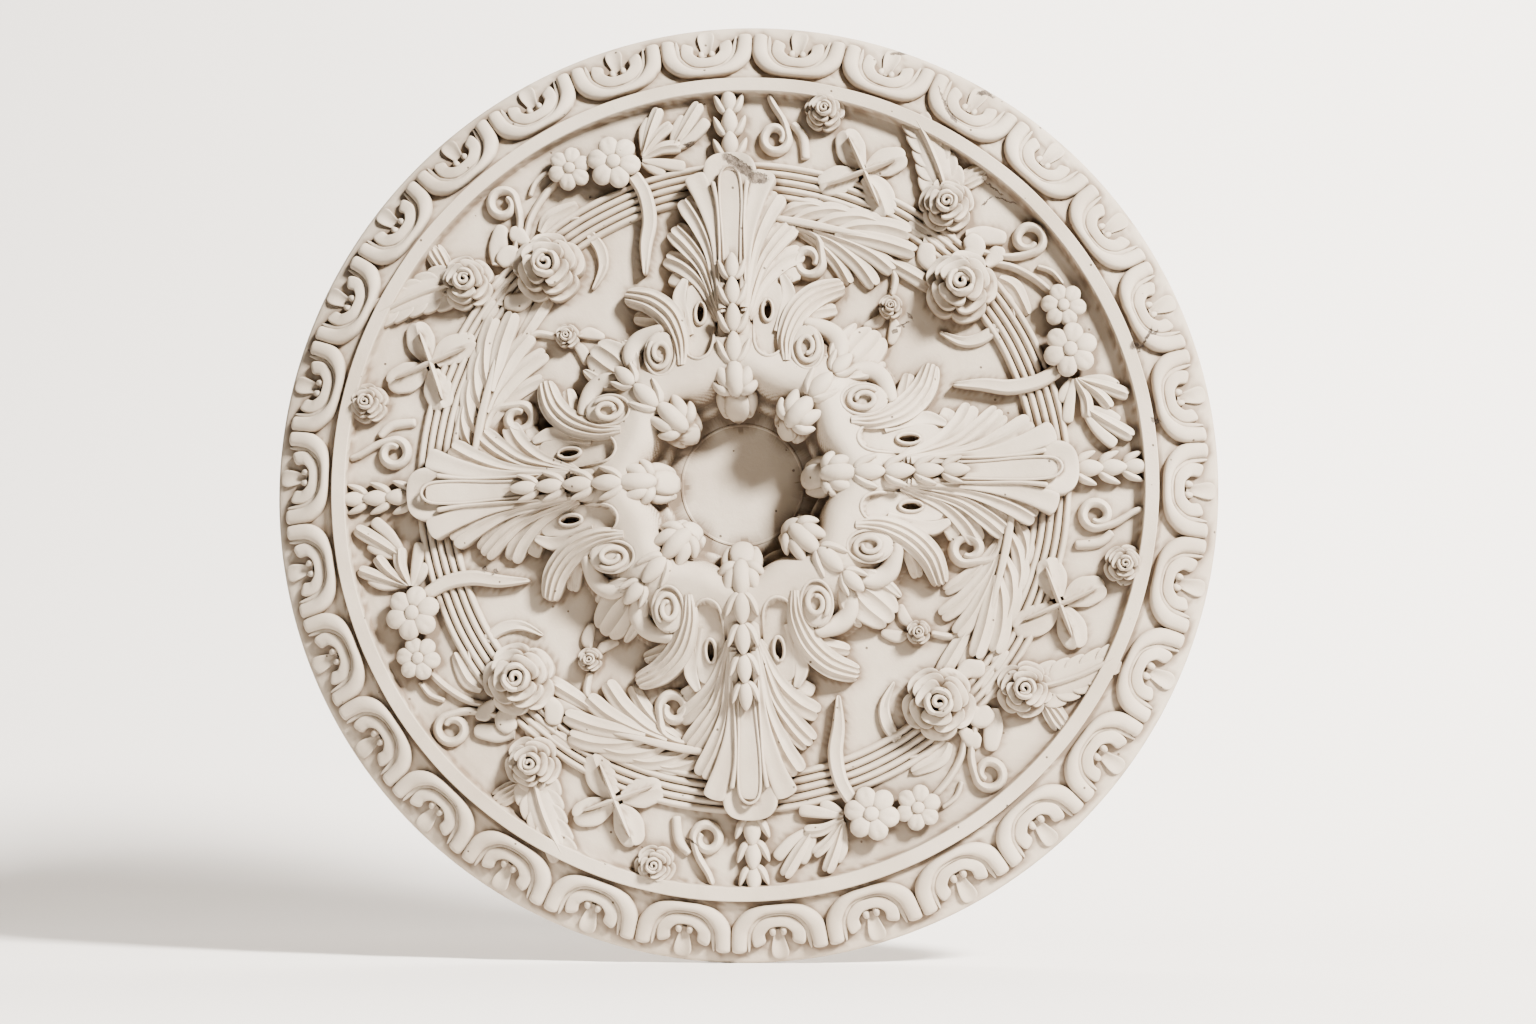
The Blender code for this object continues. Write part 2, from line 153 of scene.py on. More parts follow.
def marks_mask(tree, place):
    """One where the surface is chipped or cracked. The noise makes every edge ragged."""
    ragged = add_node(tree, "ShaderNodeTexNoise", Vector=place, Scale=190.0, Detail=4.0, Roughness=0.7)
    vector_math = "ShaderNodeVectorMath"
    centred = calculate(tree, vector_math, "SUBTRACT", ragged.outputs["Color"], (0.5, 0.5, 0.5))
    shaken = calculate(tree, vector_math, "MULTIPLY_ADD", centred, (SHAKE * MM,) * 3, place)
    result = 0.0
    for x, z, slope, half_length, half_width in MARKS:
        ellipse = add_node(
            tree,
            "ShaderNodeMapping",
            Vector=shaken,
            Location=(x * MM, 0.0, z * MM),
            Rotation=(0.0, -math.radians(slope), 0.0),
            Scale=(half_length * MM, 1000.0, half_width * MM),
        )
        ellipse.vector_type = "TEXTURE"
        away = calculate(tree, vector_math, "LENGTH", ellipse.outputs["Vector"])
        inside = add_node(tree, "ShaderNodeMapRange", Value=away, From_Min=1.1, From_Max=0.85)
        result = calculate(tree, "ShaderNodeMath", "MAXIMUM", inside.outputs["Result"], result)
    return result, ragged.outputs["Fac"]


# %% [markdown]
# The plaster is off-white and matt. It was poured and then finished by hand, so its
# colour drifts a little, its skin has a fine grain, and air bubbles left pinholes.
# Noise gives the drift and the grain. A Voronoi pattern gives the pinholes: a cell's
# middle that happens to lie at the surface makes a small dark dent. Brown painted shade,
# which a later cell works out for every point, darkens the hollows over this colour.

# %% Plaster material
PLASTER_LIGHT = (0.47, 0.40, 0.32, 1.0)
PLASTER_DARK = (0.37, 0.305, 0.235, 1.0)
# Brown colour of the painted shade that darkens the hollows.
PAINTED_SHADE_COLOUR = (0.13, 0.090, 0.058, 1.0)
PIT_COLOUR = (0.08, 0.06, 0.045, 1.0)
BREAK_LIGHT = (0.19, 0.15, 0.115, 1.0)
BREAK_DARK = (0.055, 0.042, 0.032, 1.0)
# Name of the attribute that holds each point's share of painted shade.
PAINTED_SHADE_ATTRIBUTE = "painted_shade"


def plaster_material(name, grain, pits):
    """grain and pits say how strong the skin's grain and the pinholes are, from 0 to 1."""
    material = bpy.data.materials.new(name)
    material.use_nodes = True
    tree = material.node_tree
    place = tree.nodes.new("ShaderNodeTexCoord").outputs["Object"]
    drift = add_node(tree, "ShaderNodeTexNoise", Vector=place, Scale=9.0, Detail=5.0, Roughness=0.55)
    colour = ramp_node(tree, drift.outputs["Fac"], 0.30, 0.62, PLASTER_DARK, PLASTER_LIGHT)
    holes = add_node(tree, "ShaderNodeTexVoronoi", Vector=place, Scale=46.0)
    hole = ramp_node(tree, holes.outputs["Distance"], 0.045, 0.065, (1, 1, 1, 1), (0, 0, 0, 1))
    hole = calculate(tree, "ShaderNodeMath", "MULTIPLY", hole, pits)
    # This node reads the painted shade of the hollows, which is mixed over the colour below.
    painted_shade = tree.nodes.new("ShaderNodeAttribute")
    painted_shade.attribute_name = PAINTED_SHADE_ATTRIBUTE
    chipped, roughness = marks_mask(tree, place)
    core = ramp_node(tree, roughness, 0.38, 0.62, BREAK_DARK, BREAK_LIGHT)
    for second, share in ((PIT_COLOUR, hole), (PAINTED_SHADE_COLOUR, painted_shade.outputs["Fac"]), (core, chipped)):
        mixed = add_node(tree, "ShaderNodeMixRGB", Color1=colour, Color2=second, Fac=share)
        colour = mixed.outputs["Color"]
    fine = add_node(tree, "ShaderNodeTexNoise", Vector=place, Scale=420.0, Detail=4.0, Roughness=0.65)
    hand = add_node(tree, "ShaderNodeTexNoise", Vector=place, Scale=70.0, Detail=3.0, Roughness=0.5)
    broken = calculate(tree, "ShaderNodeMath", "MULTIPLY", chipped, roughness)
    relief = add_node(tree, "ShaderNodeBump", Strength=grain, Distance=0.0006, Height=fine.outputs["Fac"])
    for height, strength, depth, sunk in (
        (hand.outputs["Fac"], grain, 0.0016, False),
        (hole, 0.8, 0.001, True),
        (broken, 1.0, 0.0025, True),
    ):
        below = relief.outputs["Normal"]
        relief = add_node(
            tree, "ShaderNodeBump", Strength=strength, Distance=depth, Height=height, Normal=below
        )
        relief.invert = sunk
    shader = tree.nodes["Principled BSDF"]
    feed(tree, colour, shader.inputs["Base Color"])
    feed(tree, relief.outputs["Normal"], shader.inputs["Normal"])
    feed(tree, 0.82, shader.inputs["Roughness"])
    feed(tree, 0.25, shader.inputs["Specular IOR Level"])
    return material


PLASTER = plaster_material("cast_plaster", 0.35, 0.9)
print("material:", PLASTER.name, "with", len(MARKS), "marks")

# %% [markdown]
# Every shape grows along a route, so the first helpers read a smooth line through a
# few points. A Catmull-Rom curve passes through its own points, which makes it easy to
# draw with: a point is simply a place that the leaf has to reach.

# %% Smooth lines


def along(points, t):
    """A place on a smooth line through the points, with t from 0 to 1."""
    last = len(points) - 1
    t = min(max(t, 0.0), 1.0)
    span = min(int(t * last), last - 1)
    u = t * last - span
    p0 = Vector(points[max(span - 1, 0)])
    p1 = Vector(points[span])
    p2 = Vector(points[span + 1])
    p3 = Vector(points[min(span + 2, last)])
    bend = (p2 - p0) * u + (2 * p0 - 5 * p1 + 4 * p2 - p3) * u * u + (3 * p1 - p0 - 3 * p2 + p3) * u**3
    return p1 + bend / 2


def across(points, t):
    """The direction to the left of the line at t, seen from the front."""
    ahead = along(points, min(t + 0.01, 1.0)) - along(points, max(t - 0.01, 0.0))
    return Vector((-ahead.y, ahead.x, 0.0)).normalized()


def reading(values, t):
    """A number on a smooth line through the values, with t from 0 to 1."""
    return along([(value, 0.0) for value in values], t)[0]


def length_of(points):
    steps = [along(points, step / 24) for step in range(25)]
    return sum((b - a).length for a, b in zip(steps, steps[1:]))


def turned(points, degrees, centre=(0.0, 0.0)):
    """Points drawn about (0, 0) and pointing along +Y, turned clockwise and moved to a centre."""
    c = math.cos(math.radians(degrees))
    s = math.sin(math.radians(degrees))
    return [(centre[0] + x * c + y * s, centre[1] - x * s + y * c, h) for x, y, h in points]


def flipped(points):
    """The same points on the other side of the acanthus axis."""
    return [(-x, y, h) for x, y, h in points]


def smooth_step(value, low, high):
    share = min(max((value - low) / (high - low), 0.0), 1.0)
    return share * share * (3 - 2 * share)


# %% [markdown]
# Stems, straps, husks and tendrils are all a round bar that swells and tapers, half
# sunk in the ground. A UV sphere already has closed ends and even rings, so each ring
# is moved to its place along the route and given its own half width and height.

# %% Strand: a bar that follows a route


def strand(bm, route, sizes, rings=22, sides=14, root=5.0, square=1.0, crease=0.0):
    """sizes(t) gives half width and height. square under 1 flattens the top, over 1 makes a crest."""
    ball = bmesh.ops.create_uvsphere(bm, u_segments=sides, v_segments=rings + 1, radius=1.0)
    for v in ball["verts"]:
        ring = round(math.acos(max(-1.0, min(1.0, -v.co.z))) / math.pi * (rings + 1))
        angle = math.atan2(v.co.y, v.co.x)
        t = (1 - math.cos(math.pi * ring / (rings + 1))) / 2
        place = along(route, t)
        if 0 < ring <= rings:
            width, height = sizes(t)
            side = math.copysign(abs(math.cos(angle)) ** square, math.cos(angle))
            up = math.copysign(abs(math.sin(angle)) ** square, math.sin(angle))
            place += across(route, t) * side * width
            place.z += up * height if up > 0 else up * root
            if up > 0:
                place.z -= crease * height * math.exp(-((side / 0.32) ** 2))
        v.co = place


def lens(width, height, blunt=0.6, low=0.35):
    """Half width and height of a leaf that narrows to both ends."""

    def sizes(t):
        full = math.sin(math.pi * min(max(t, 0.001), 0.999)) ** blunt
        return width * full, height * (low + (1 - low) * full)

    return sizes


def bar(widths, height, ends=0.06):
    """Half width and height of a bar with round ends, whose half width follows the values."""

    def sizes(t):
        near = min(t, 1 - t) / ends
        full = math.sqrt(max(0.0, 1 - (1 - min(near, 1.0)) ** 2))
        return reading(widths, t) * full, height * (0.25 + 0.75 * full)

    return sizes


def bud_sizes(width, height):
    """Half width and height of a husk: round at its root and pointed at its tip."""

    def sizes(t):
        full = math.sin(math.pi * min(max(t, 0.001), 0.999) ** 0.85) ** 0.72
        return width * full, height * (0.2 + 0.8 * full)

    return sizes


# %% [markdown]
# An acanthus leaf is a bundle of blades, and each blade carries flutes: hollow channels
# with sharp ridges between them. A blade is a grid. Its columns run from root to tip,
# its rows run across, and a sine wave across the columns cuts the channels. The columns
# stop at different lengths, which gives the round, notched tip. The border is then
# extruded down into the ground, so the blade is a closed body with carved sides.

# %% Blade: a fluted leaf


def blade(
    bm,
    route,
    widths,
    flutes=1,
    crown=2.0,
    groove=1.6,
    edge=1.6,
    notch=0.5,
    foot=FOOT,
    rows=20,
    columns=0,
    dish=0.0,
):
    """widths are half widths from root to tip. crown arches the blade and dish hollows its tip."""
    columns = columns or max(12, 8 * flutes)
    tip = min(0.45, abs(widths[-1]) / length_of(route))
    sheet = bmesh.ops.create_grid(bm, x_segments=columns, y_segments=rows, size=1.0)["verts"]
    for v in sheet:
        u = v.co.x if flutes > 1 else v.co.x * (3 - v.co.x * v.co.x) / 2
        t = math.sin(math.pi / 2 * (v.co.y + 1) / 2) ** 0.8
        share = round((u + 1) / 2 * flutes, 4)
        channel = math.sin(math.pi * (share - math.floor(share))) ** 0.9
        reach = 1 - tip * (1 - math.sqrt(max(0.0, 1 - u * u)))
        if flutes > 1:
            reach -= notch * tip * (1 - channel) ** 1.5
        place = along(route, t * reach)
        place += across(route, t * reach) * u * reading(widths, t * reach)
        place.z += crown * (1 - u * u) - groove * channel * smooth_step(t, 0.0, 0.2)
        place.z -= edge * (abs(u) ** 8 + t**14)
        place.z -= dish * (1 - u * u) * smooth_step(t, 0.55, 0.95)
        v.co = place
    border = dict.fromkeys(e for v in sheet for e in v.link_edges if e.is_boundary)
    sides = bmesh.ops.extrude_edge_only(bm, edges=list(border))["geom"]
    for item in sides:
        if isinstance(item, bmesh.types.BMVert):
            item.co.z = min(foot, item.co.z - 2.0)
    rims = [e for e in sides if isinstance(e, bmesh.types.BMEdge) and e.is_boundary]
    bmesh.ops.holes_fill(bm, edges=rims)


# %% [markdown]
# A rose is made of cupped petals that overlap round a rolled heart. Each petal is a
# blade with one flute: its middle is hollow and its edge stands up. Five petals lie
# low and wide, four stand above them, and three more wrap the heart.

# %% Rolled hearts and roses


def around(centre, radius, degrees, height):
    """A point round a centre, in clockwise degrees from straight outward."""
    angle = math.radians(degrees)
    return (centre[0] + radius * math.sin(angle), centre[1] + radius * math.cos(angle), height)


def spiral(centre, start, end, turns, heights, phase=0.0, stretch=1.0, clockwise=1, count=24):
    """A flat spiral from the start radius to the end radius, as route points."""
    points = []
    for step in range(count + 1):
        share = step / count
        angle = math.radians(phase) + clockwise * math.tau * turns * share
        radius = start + (end - start) * share
        height = heights[0] + (heights[1] - heights[0]) * share
        x = centre[0] + radius * math.sin(angle)
        y = centre[1] + radius * math.cos(angle) * stretch
        points.append((x, y, height))
    return points


def radial(centre, degrees, stops):
    """A route that leaves the centre in a direction, through stops of (radius, height)."""
    return [around(centre, radius, degrees, height) for radius, height in stops]


# Petal layers as (count, reach, half width, levels from root to tip, hollow)
PETAL_LAYERS = (
    (5, 1.02, 0.50, (0.10, 0.40, 0.40), 0.16),
    (4, 0.82, 0.46, (0.36, 0.62, 0.66), 0.15),
    (3, 0.62, 0.42, (0.60, 0.82, 0.88), 0.13),
)
PETAL_STOPS = (0.1, 0.6, 1.0)
WRAP_RADIUS = 0.33
WRAP_STOPS = ((-75, 0.22), (-25, 0.10), (30, 0.10), (80, 0.20))


def rose(bm, centre, radius, top, phase=0.0, rows=3):
    """A rose with a rolled heart, seen from above."""
    base = FIELD_HEIGHT
    rise = top - base
    for number, (count, reach, width, levels, hollow) in enumerate(PETAL_LAYERS[3 - rows :]):
        for item in range(count):
            angle = phase + number * 40 + item * 360 / count
            stops = [(s * reach * radius, base + level * rise) for s, level in zip(PETAL_STOPS, levels)]
            petal = radial(centre, angle, stops)
            widths = (width * radius * 0.6, width * radius, width * radius * 0.95)
            blade(bm, petal, widths, crown=0.0, groove=hollow * radius, edge=0.02 * radius, rows=14)
    for item in range(3):
        angle = phase + 25 + item * 120
        wrap = []
        for turn, drop in WRAP_STOPS:
            wrap.append(around(centre, WRAP_RADIUS * radius, angle + turn, top - drop * rise))
        strand(bm, wrap, lens(0.095 * radius, 0.14 * rise, 0.45), rings=18, sides=10, root=0.5 * rise)
    heart = spiral(centre, radius * 0.07, radius * 0.21, 1.2, (top - 2.0, top - 0.1 * rise), phase)
    heart_widths = bar((radius * 0.06, radius * 0.075, radius * 0.065), 3.0, 0.05)
    strand(bm, heart, heart_widths, rings=34, sides=10, root=rise * 0.5)


# %% [markdown]
# A finished piece is turned into its copies round the middle, its faces are pointed
# outwards, and it is stood up. A hand-carved model is never quite regular, so a slow
# noise moves every point by a part of a millimetre. The rim's edge keeps its circle.
# Blender would seed this noise by the clock, so it gets a seed of its own, and every
# run gives the same rose.

# %% Finish a piece
HAND_WOBBLE = 0.7
HAND_WAVE = 45.0
HAND_SEED = 7
noise.seed_set(HAND_SEED)
STANDING = Matrix.Rotation(math.radians(90), 4, "X") @ Matrix.Scale(MM, 4)
made = {}


def repeat(bm, copies):
    bmesh.ops.spin(
        bm,
        geom=bm.verts[:] + bm.edges[:] + bm.faces[:],
        cent=(0, 0, 0),
        axis=(0, 0, 1),
        angle=-math.tau * (copies - 1) / copies,
        steps=copies - 1,
        use_duplicate=True,
    )


def wobble(bm, amount):
    for v in bm.verts:
        shift = noise.noise_vector(v.co / HAND_WAVE) * amount
        calm = 1 - smooth_step(v.co.xy.length, RADIUS - 14.0, RADIUS - 6.0)
        v.co.x += shift.x * calm
        v.co.y += shift.y * calm
        if v.co.z > 1.0:
            v.co.z += shift.z * 0.5 * calm


def finish_piece(name, bm, copies=1, material=PLASTER, amount=HAND_WOBBLE, sharp=42.0):
    if copies > 1:
        repeat(bm, copies)
    bmesh.ops.recalc_face_normals(bm, faces=bm.faces)
    if amount:
        wobble(bm, amount)
    bm.transform(STANDING)
    mesh = bpy.data.meshes.new(name)
    bm.to_mesh(mesh)
    bm.free()
    mesh.shade_smooth()
    mesh.set_sharp_from_angle(angle=math.radians(sharp))
    mesh.materials.append(material)
    piece = bpy.data.objects.new(name, mesh)
    bpy.context.scene.collection.objects.link(piece)
    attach(piece, "root")
    made[name] = piece
    print(name, sum(len(face.vertices) - 2 for face in mesh.polygons), "triangles")
    return piece


# %% [markdown]
# The plate is turned: the mould for it was run with a template. Its profile holds the
# canopy seat with its fine raised line, the field, the cove, the flat fillet and the
# sloping band of the rim. A profile spun about the middle makes all of them at once.

# %% Plate
PLATE_STEPS = 480
RING_SPACING = 4.5


def turn_profile(bm, profile, steps, closed):
    corners = [bm.verts.new((r, 0.0, h)) for r, h in profile]
    edges = [bm.edges.new(pair) for pair in zip(corners, corners[1:])]
    if closed:
        edges.append(bm.edges.new((corners[-1], corners[0])))
    bmesh.ops.spin(
        bm,
        geom=corners + edges,
        cent=(0, 0, 0),
        axis=(0, 0, 1),
        angle=math.tau,
        steps=steps,
        use_merge=True,
    )
    bmesh.ops.remove_doubles(bm, verts=bm.verts, dist=0.01)


def finer(profile, spacing):
    """The profile with its long straight parts cut into short ones."""
    points = [profile[0]]
    for start, end in zip(profile, profile[1:]):
        parts = max(1, math.ceil(math.dist(start, end) / spacing))
        for part in range(1, parts + 1):
            points.append(tuple(a + (b - a) * part / parts for a, b in zip(start, end)))
    return points


def band_height(radius):
    """Height of the sloping band of the rim."""
    share = (radius - RIM_INNER_RADIUS) / (RADIUS - RIM_INNER_RADIUS)
    return RIM_HEIGHT + (EDGE_THICKNESS - RIM_HEIGHT) * share


SEAT_LINE_RADIUS = 58.0
plate_front = [
    (0.0, RECESS_THICKNESS),
    (SEAT_LINE_RADIUS - 1.6, RECESS_THICKNESS),
    (SEAT_LINE_RADIUS - 0.7, RECESS_THICKNESS + 0.9),
    (SEAT_LINE_RADIUS + 0.7, RECESS_THICKNESS + 0.9),
    (SEAT_LINE_RADIUS + 1.6, RECESS_THICKNESS),
    (82.0, RECESS_THICKNESS),
    (100.0, FIELD_HEIGHT - 4),
    (150.0, FIELD_HEIGHT),
    (260.0, FIELD_HEIGHT),
    (FIELD_RADIUS - 2.0, FIELD_HEIGHT),
    (FIELD_RADIUS + 1.5, FIELD_HEIGHT + 1.6),
    (FIELD_RADIUS + 3.2, FIELD_HEIGHT + 5.0),
    (FIELD_RADIUS + 4.0, FIELD_HEIGHT + 9.0),
    (FIELD_RADIUS + 4.3, FILLET_HEIGHT - 0.7),
    (FIELD_RADIUS + 5.0, FILLET_HEIGHT),
    (RIM_INNER_RADIUS - 3.4, FILLET_HEIGHT),
    (RIM_INNER_RADIUS - 2.7, FILLET_HEIGHT - 0.7),
    (RIM_INNER_RADIUS - 2.2, RIM_HEIGHT - 2.0),
    (RIM_INNER_RADIUS + 3.0, band_height(RIM_INNER_RADIUS + 3.0)),
    (RIM_INNER_RADIUS + 25.0, band_height(RIM_INNER_RADIUS + 25.0)),
    (RADIUS - 3.0, band_height(RADIUS - 3.0)),
    (RADIUS - 0.8, EDGE_THICKNESS - 0.8),
    (RADIUS, EDGE_THICKNESS - 2.4),
    (RADIUS, 0.8),
    (RADIUS - 0.8, 0.0),
]
plate_back = [(RADIUS - 60.0, 0.0), (RADIUS / 2, 0.0), (0.0, 0.0)]
bm = bmesh.new()
turn_profile(bm, finer(plate_front, RING_SPACING) + plate_back, PLATE_STEPS, closed=False)
finish_piece("plate", bm, amount=0.25, sharp=32.0)

# %% [markdown]
# Five half-round reeds run in a ring behind the garland, like a bundle of canes.

# %% Reeds
REED_COUNT = 5
REED_WIDTH = 7.4
REED_HEIGHT = 6.6
REED_RING_RADIUS = 293.5

reed_profile = []
reed_inner = REED_RING_RADIUS - REED_COUNT * REED_WIDTH / 2
for reed in range(REED_COUNT):
    middle = reed_inner + (reed + 0.5) * REED_WIDTH
    for step in range(9):
        angle = math.pi * (1 - step / 8)
        across_reed = 0.47 * REED_WIDTH * math.cos(angle)
        reed_profile.append((middle + across_reed, FIELD_HEIGHT + 0.4 + REED_HEIGHT * math.sin(angle)))
reed_profile.append((reed_profile[-1][0], FOOT))
reed_profile.append((reed_inner + 0.03 * REED_WIDTH, FOOT))
bm = bmesh.new()
turn_profile(bm, reed_profile, 288, closed=True)
finish_piece("reeded_ring", bm, sharp=60.0)

# %% [markdown]
# Eight soft shoulders rise round the recess, one between every two husk chains. Their
# wall steps back once on its way up and then rolls over into a broad dome. The ring is
# spun from a fine profile, and formulas then move its points: a cosine makes the eight
# swellings, and hollows are pressed in for the eyes of the volutes and for the channels
# beside each acanthus stem.

# %% Shoulders
SHOULDER_STEPS = 512
WALL_STEPS = 84
WALL_FOOT = 4.0
LOBES = 8
WALL_PROFILE = (
    (73.5, 8.0),
    (74.0, 15.0),
    (76.0, 27.0),
    (78.5, 30.5),
    (84.0, 31.5),
    (85.5, 35.0),
    (86.5, 47.0),
    (88.5, 57.5),
    (92.0, 66.0),
    (98.0, 72.0),
    (106.0, 75.0),
    (115.0, 74.0),
    (127.0, 69.5),
    (139.0, 61.0),
    (151.0, 50.0),
    (162.0, 38.0),
    (172.0, 27.0),
    (180.0, 19.0),
)
EYE = (69.0, 120.0)
EYE_SIZE = (14.0, 20.5)
EYE_DEPTH = 4.5
CHANNEL = (33.0, 128.0)
CHANNEL_HALF_WIDTH = 13.5
CHANNEL_DEPTH = 8.0


def lobe_swell(angle, radius):
    """How far a shoulder reaches in or out, as a share of its radius."""
    fade = 1 - smooth_step(radius, 110.0, 175.0)
    return 0.045 * math.cos(LOBES * angle) * fade


def dome(radius):
    """Height of the shoulders' profile at a radius."""
    for (r0, h0), (r1, h1) in zip(WALL_PROFILE, WALL_PROFILE[1:]):
        if r0 <= radius <= r1:
            return h0 + (h1 - h0) * (radius - r0) / (r1 - r0)
    return FIELD_HEIGHT if radius > WALL_PROFILE[-1][0] else RECESS_THICKNESS


def pressed(x, y):
    """How deep the hollows are at a place of the quarter, with x on either side of the axis."""
    x = abs(x)
    eye = math.hypot((x - EYE[0]) / EYE_SIZE[0], (y - EYE[1]) / EYE_SIZE[1])
    channel = math.hypot(x - CHANNEL[0], min(y - CHANNEL[1], 0.0)) / CHANNEL_HALF_WIDTH
    channel_share = (1 - smooth_step(channel, 0.86, 1.0)) * (1 - smooth_step(y, 134.0, 166.0))
    return EYE_DEPTH * (1 - smooth_step(eye, 0.90, 1.03)) + CHANNEL_DEPTH * channel_share


def bed(x, y):
    """Height of the ground under the carving."""
    radius = math.hypot(x, y)
    if radius > RIM_INNER_RADIUS:
        return band_height(radius)
    height = dome(radius / (1 + lobe_swell(math.atan2(x, y), radius)))
    return max(height, FIELD_HEIGHT) if radius > 90 else height


wall = [tuple(along(WALL_PROFILE, step / WALL_STEPS)) for step in range(WALL_STEPS + 1)]
underside = [(WALL_PROFILE[-1][0], WALL_FOOT), (WALL_PROFILE[0][0], WALL_FOOT)]
bm = bmesh.new()
turn_profile(bm, wall + underside, SHOULDER_STEPS, closed=True)
for v in bm.verts:
    radius = v.co.xy.length
    angle = math.atan2(v.co.x, v.co.y)
    swell = lobe_swell(angle, radius)
    v.co.x *= 1 + swell
    v.co.y *= 1 + swell
    quarter = (angle + math.pi / 4) % (math.pi / 2) - math.pi / 4
    radius = v.co.xy.length
    if v.co.z > 6.0:
        v.co.z = max(v.co.z - pressed(radius * math.sin(quarter), radius * math.cos(quarter)), 5.0)
finish_piece("shoulders", bm, sharp=60.0)

# %% [markdown]
# The rim repeats one leaf thirty times. It is a bold half-round strap bent to a U. Inside
# it lie a thin ledge, a broad flat scroll, two small lobes and a hollow scoop. All of
# them are drawn in radius and degrees.

# %% Rim leaves


def on_rim(radius, degrees, lift):
    angle = math.radians(RIM_LEAF_OFFSET + degrees)
    return (radius * math.sin(angle), radius * math.cos(angle), band_height(radius) + lift)


def u_route(points, lift):
    """A U that is drawn by its left arm, from its tip to the middle of its bottom."""
    left = [on_rim(radius, -degrees, lift) for radius, degrees in points]
    right = [on_rim(radius, degrees, lift) for radius, degrees in reversed(points[:-1])]
    return left + right


bm = bmesh.new()
strap = ((441, 4.95), (430, 5.0), (417, 4.75), (406.5, 3.6), (401.2, 1.9), (400.2, 0.0))
strap_widths = bar((7.0, 7.6, 7.8, 6.6, 4.6, 4.0, 4.6, 6.6, 7.8, 7.6, 7.0), 10.0, 0.04)
strand(bm, u_route(strap, 0.5), strap_widths, rings=48, sides=18, square=0.7)
ledge = ((440, 3.85), (428, 3.75), (417, 3.4), (407.8, 2.2), (404.8, 0.0))
ledge_widths = bar((0.8, 2.4, 2.8, 2.6, 2.0, 1.8, 2.0, 2.6, 2.8, 2.4, 0.8), 5.5, 0.04)
strand(bm, u_route(ledge, 0.0), ledge_widths, rings=40, sides=12, square=0.6)
scroll = ((434, 2.25), (428, 2.55), (420, 2.45), (413, 1.4), (411.6, 0.0))
scroll_widths = bar((6.4, 6.4, 6.2, 5.6, 5.0, 5.6, 6.2, 6.4, 6.4), 7.5, 0.085)
strand(bm, u_route(scroll, 0.0), scroll_widths, rings=44, sides=20, square=0.36)
for side in (-1, 1):
    lobe = [on_rim(416, side * 0.5, 1.0), on_rim(420, side * 0.72, 4.0), on_rim(425, side * 0.6, 3.0)]
    strand(bm, lobe, lens(3.2, 3.6, 0.45), rings=14, sides=12)
scoop = [on_rim(419, 0, 2.0), on_rim(428, 0, 3.2), on_rim(438, 0, 4.6), on_rim(447, 0, 4.4)]
blade(bm, scoop, (3.4, 5.6, 8.0, 9.0), crown=0.6, groove=3.2, edge=1.0, foot=7.0, rows=16, columns=16)
finish_piece("rim_leaves", bm, RIM_LEAVES)

# %% [markdown]
# Husks are bell-shaped buds that hang one from the next. Each has a middle bud and a
# leaflet on both sides. Three lie outside every acanthus, five run down its stem, and
# more follow the diagonals. A cup of three petals ends each chain in the recess.

# %% Husk chains and cups


def husk(bm, centre, height, degrees, width, length, rise=2.0, open_angle=1.0):
    """A bud and its two leaflets, pointing clockwise from the axis by the degrees."""
    bud = [(0, -length * 0.5, height - rise), (0, 0, height), (0, length * 0.5, height + rise)]
    strand(bm, turned(bud, degrees, centre), bud_sizes(width * 1.12, width * 0.95), rings=14, sides=12)
    for side in (-1, 1):
        leaflet = [
            (side * width * 0.3, -length * 0.5, height - rise - 1.0),
            (side * width * 1.3 * open_angle, -length * 0.24, height - 1.0),
            (side * width * 2.1 * open_angle, length * 0.24, height - 0.5),
        ]
        strand(bm, turned(leaflet, degrees, centre), bud_sizes(width * 0.6, width * 0.8), rings=12, sides=10)


def tulip(bm, degrees, root, width, length, height):
    """The open husk on the edge of the recess: a broad petal, two behind it and two low ones."""
    for side in (-1, 1):
        low_one = [(2, root - 2, height - 7), (13, root, height - 4), (22, root + 9, height - 6)]
        behind = [(3, root, height - 5), (10, root + 10, height - 2), (16, root + length * 0.85, height - 3)]
        for petal, sizes, rings, sides in (
            (low_one, bud_sizes(5.6, 7.0), 16, 12),
            (behind, bud_sizes(7.4, 8.0), 18, 14),
        ):
            placed = turned([(side * x, y, h) for x, y, h in petal], degrees)
            strand(bm, placed, sizes, rings=rings, sides=sides)
    front = [(0, root - 8, height - 4), (0, root + length * 0.35, height), (0, root + length, height - 1)]
    strand(bm, turned(front, degrees), bud_sizes(width, 10.0), rings=20, sides=16, root=9.0)


def cup(bm, degrees):
    """Three petals that hang over the wall of the recess."""
    for side in (-1, 1):
        outer = [(side * 8, 92, 56), (side * 12.5, 77, 49), (side * 7.5, 62, 35)]
        strand(bm, turned(outer, degrees), bar((5.5, 7.5, 6.0), 7.0, 0.2), rings=18, root=12.0, square=0.9)
    middle = [(0, 93, 59), (0, 76, 55.5), (0, 66, 48), (0, 57, 36)]
    middle_widths = bar((6.0, 11.0, 11.5, 8.0), 8.0, 0.25)
    strand(bm, turned(middle, degrees), middle_widths, rings=22, sides=18, root=12.0, square=0.9)


OUTER_HUSKS = ((328, 7.6, 27), (350, 7.2, 27), (372, 6.6, 26))
STEM_HUSKS = ((203, 59, 6.0, 27), (178, 64, 6.4, 28), (151, 70, 6.8, 29), (123, 73.5, 7.2, 30))

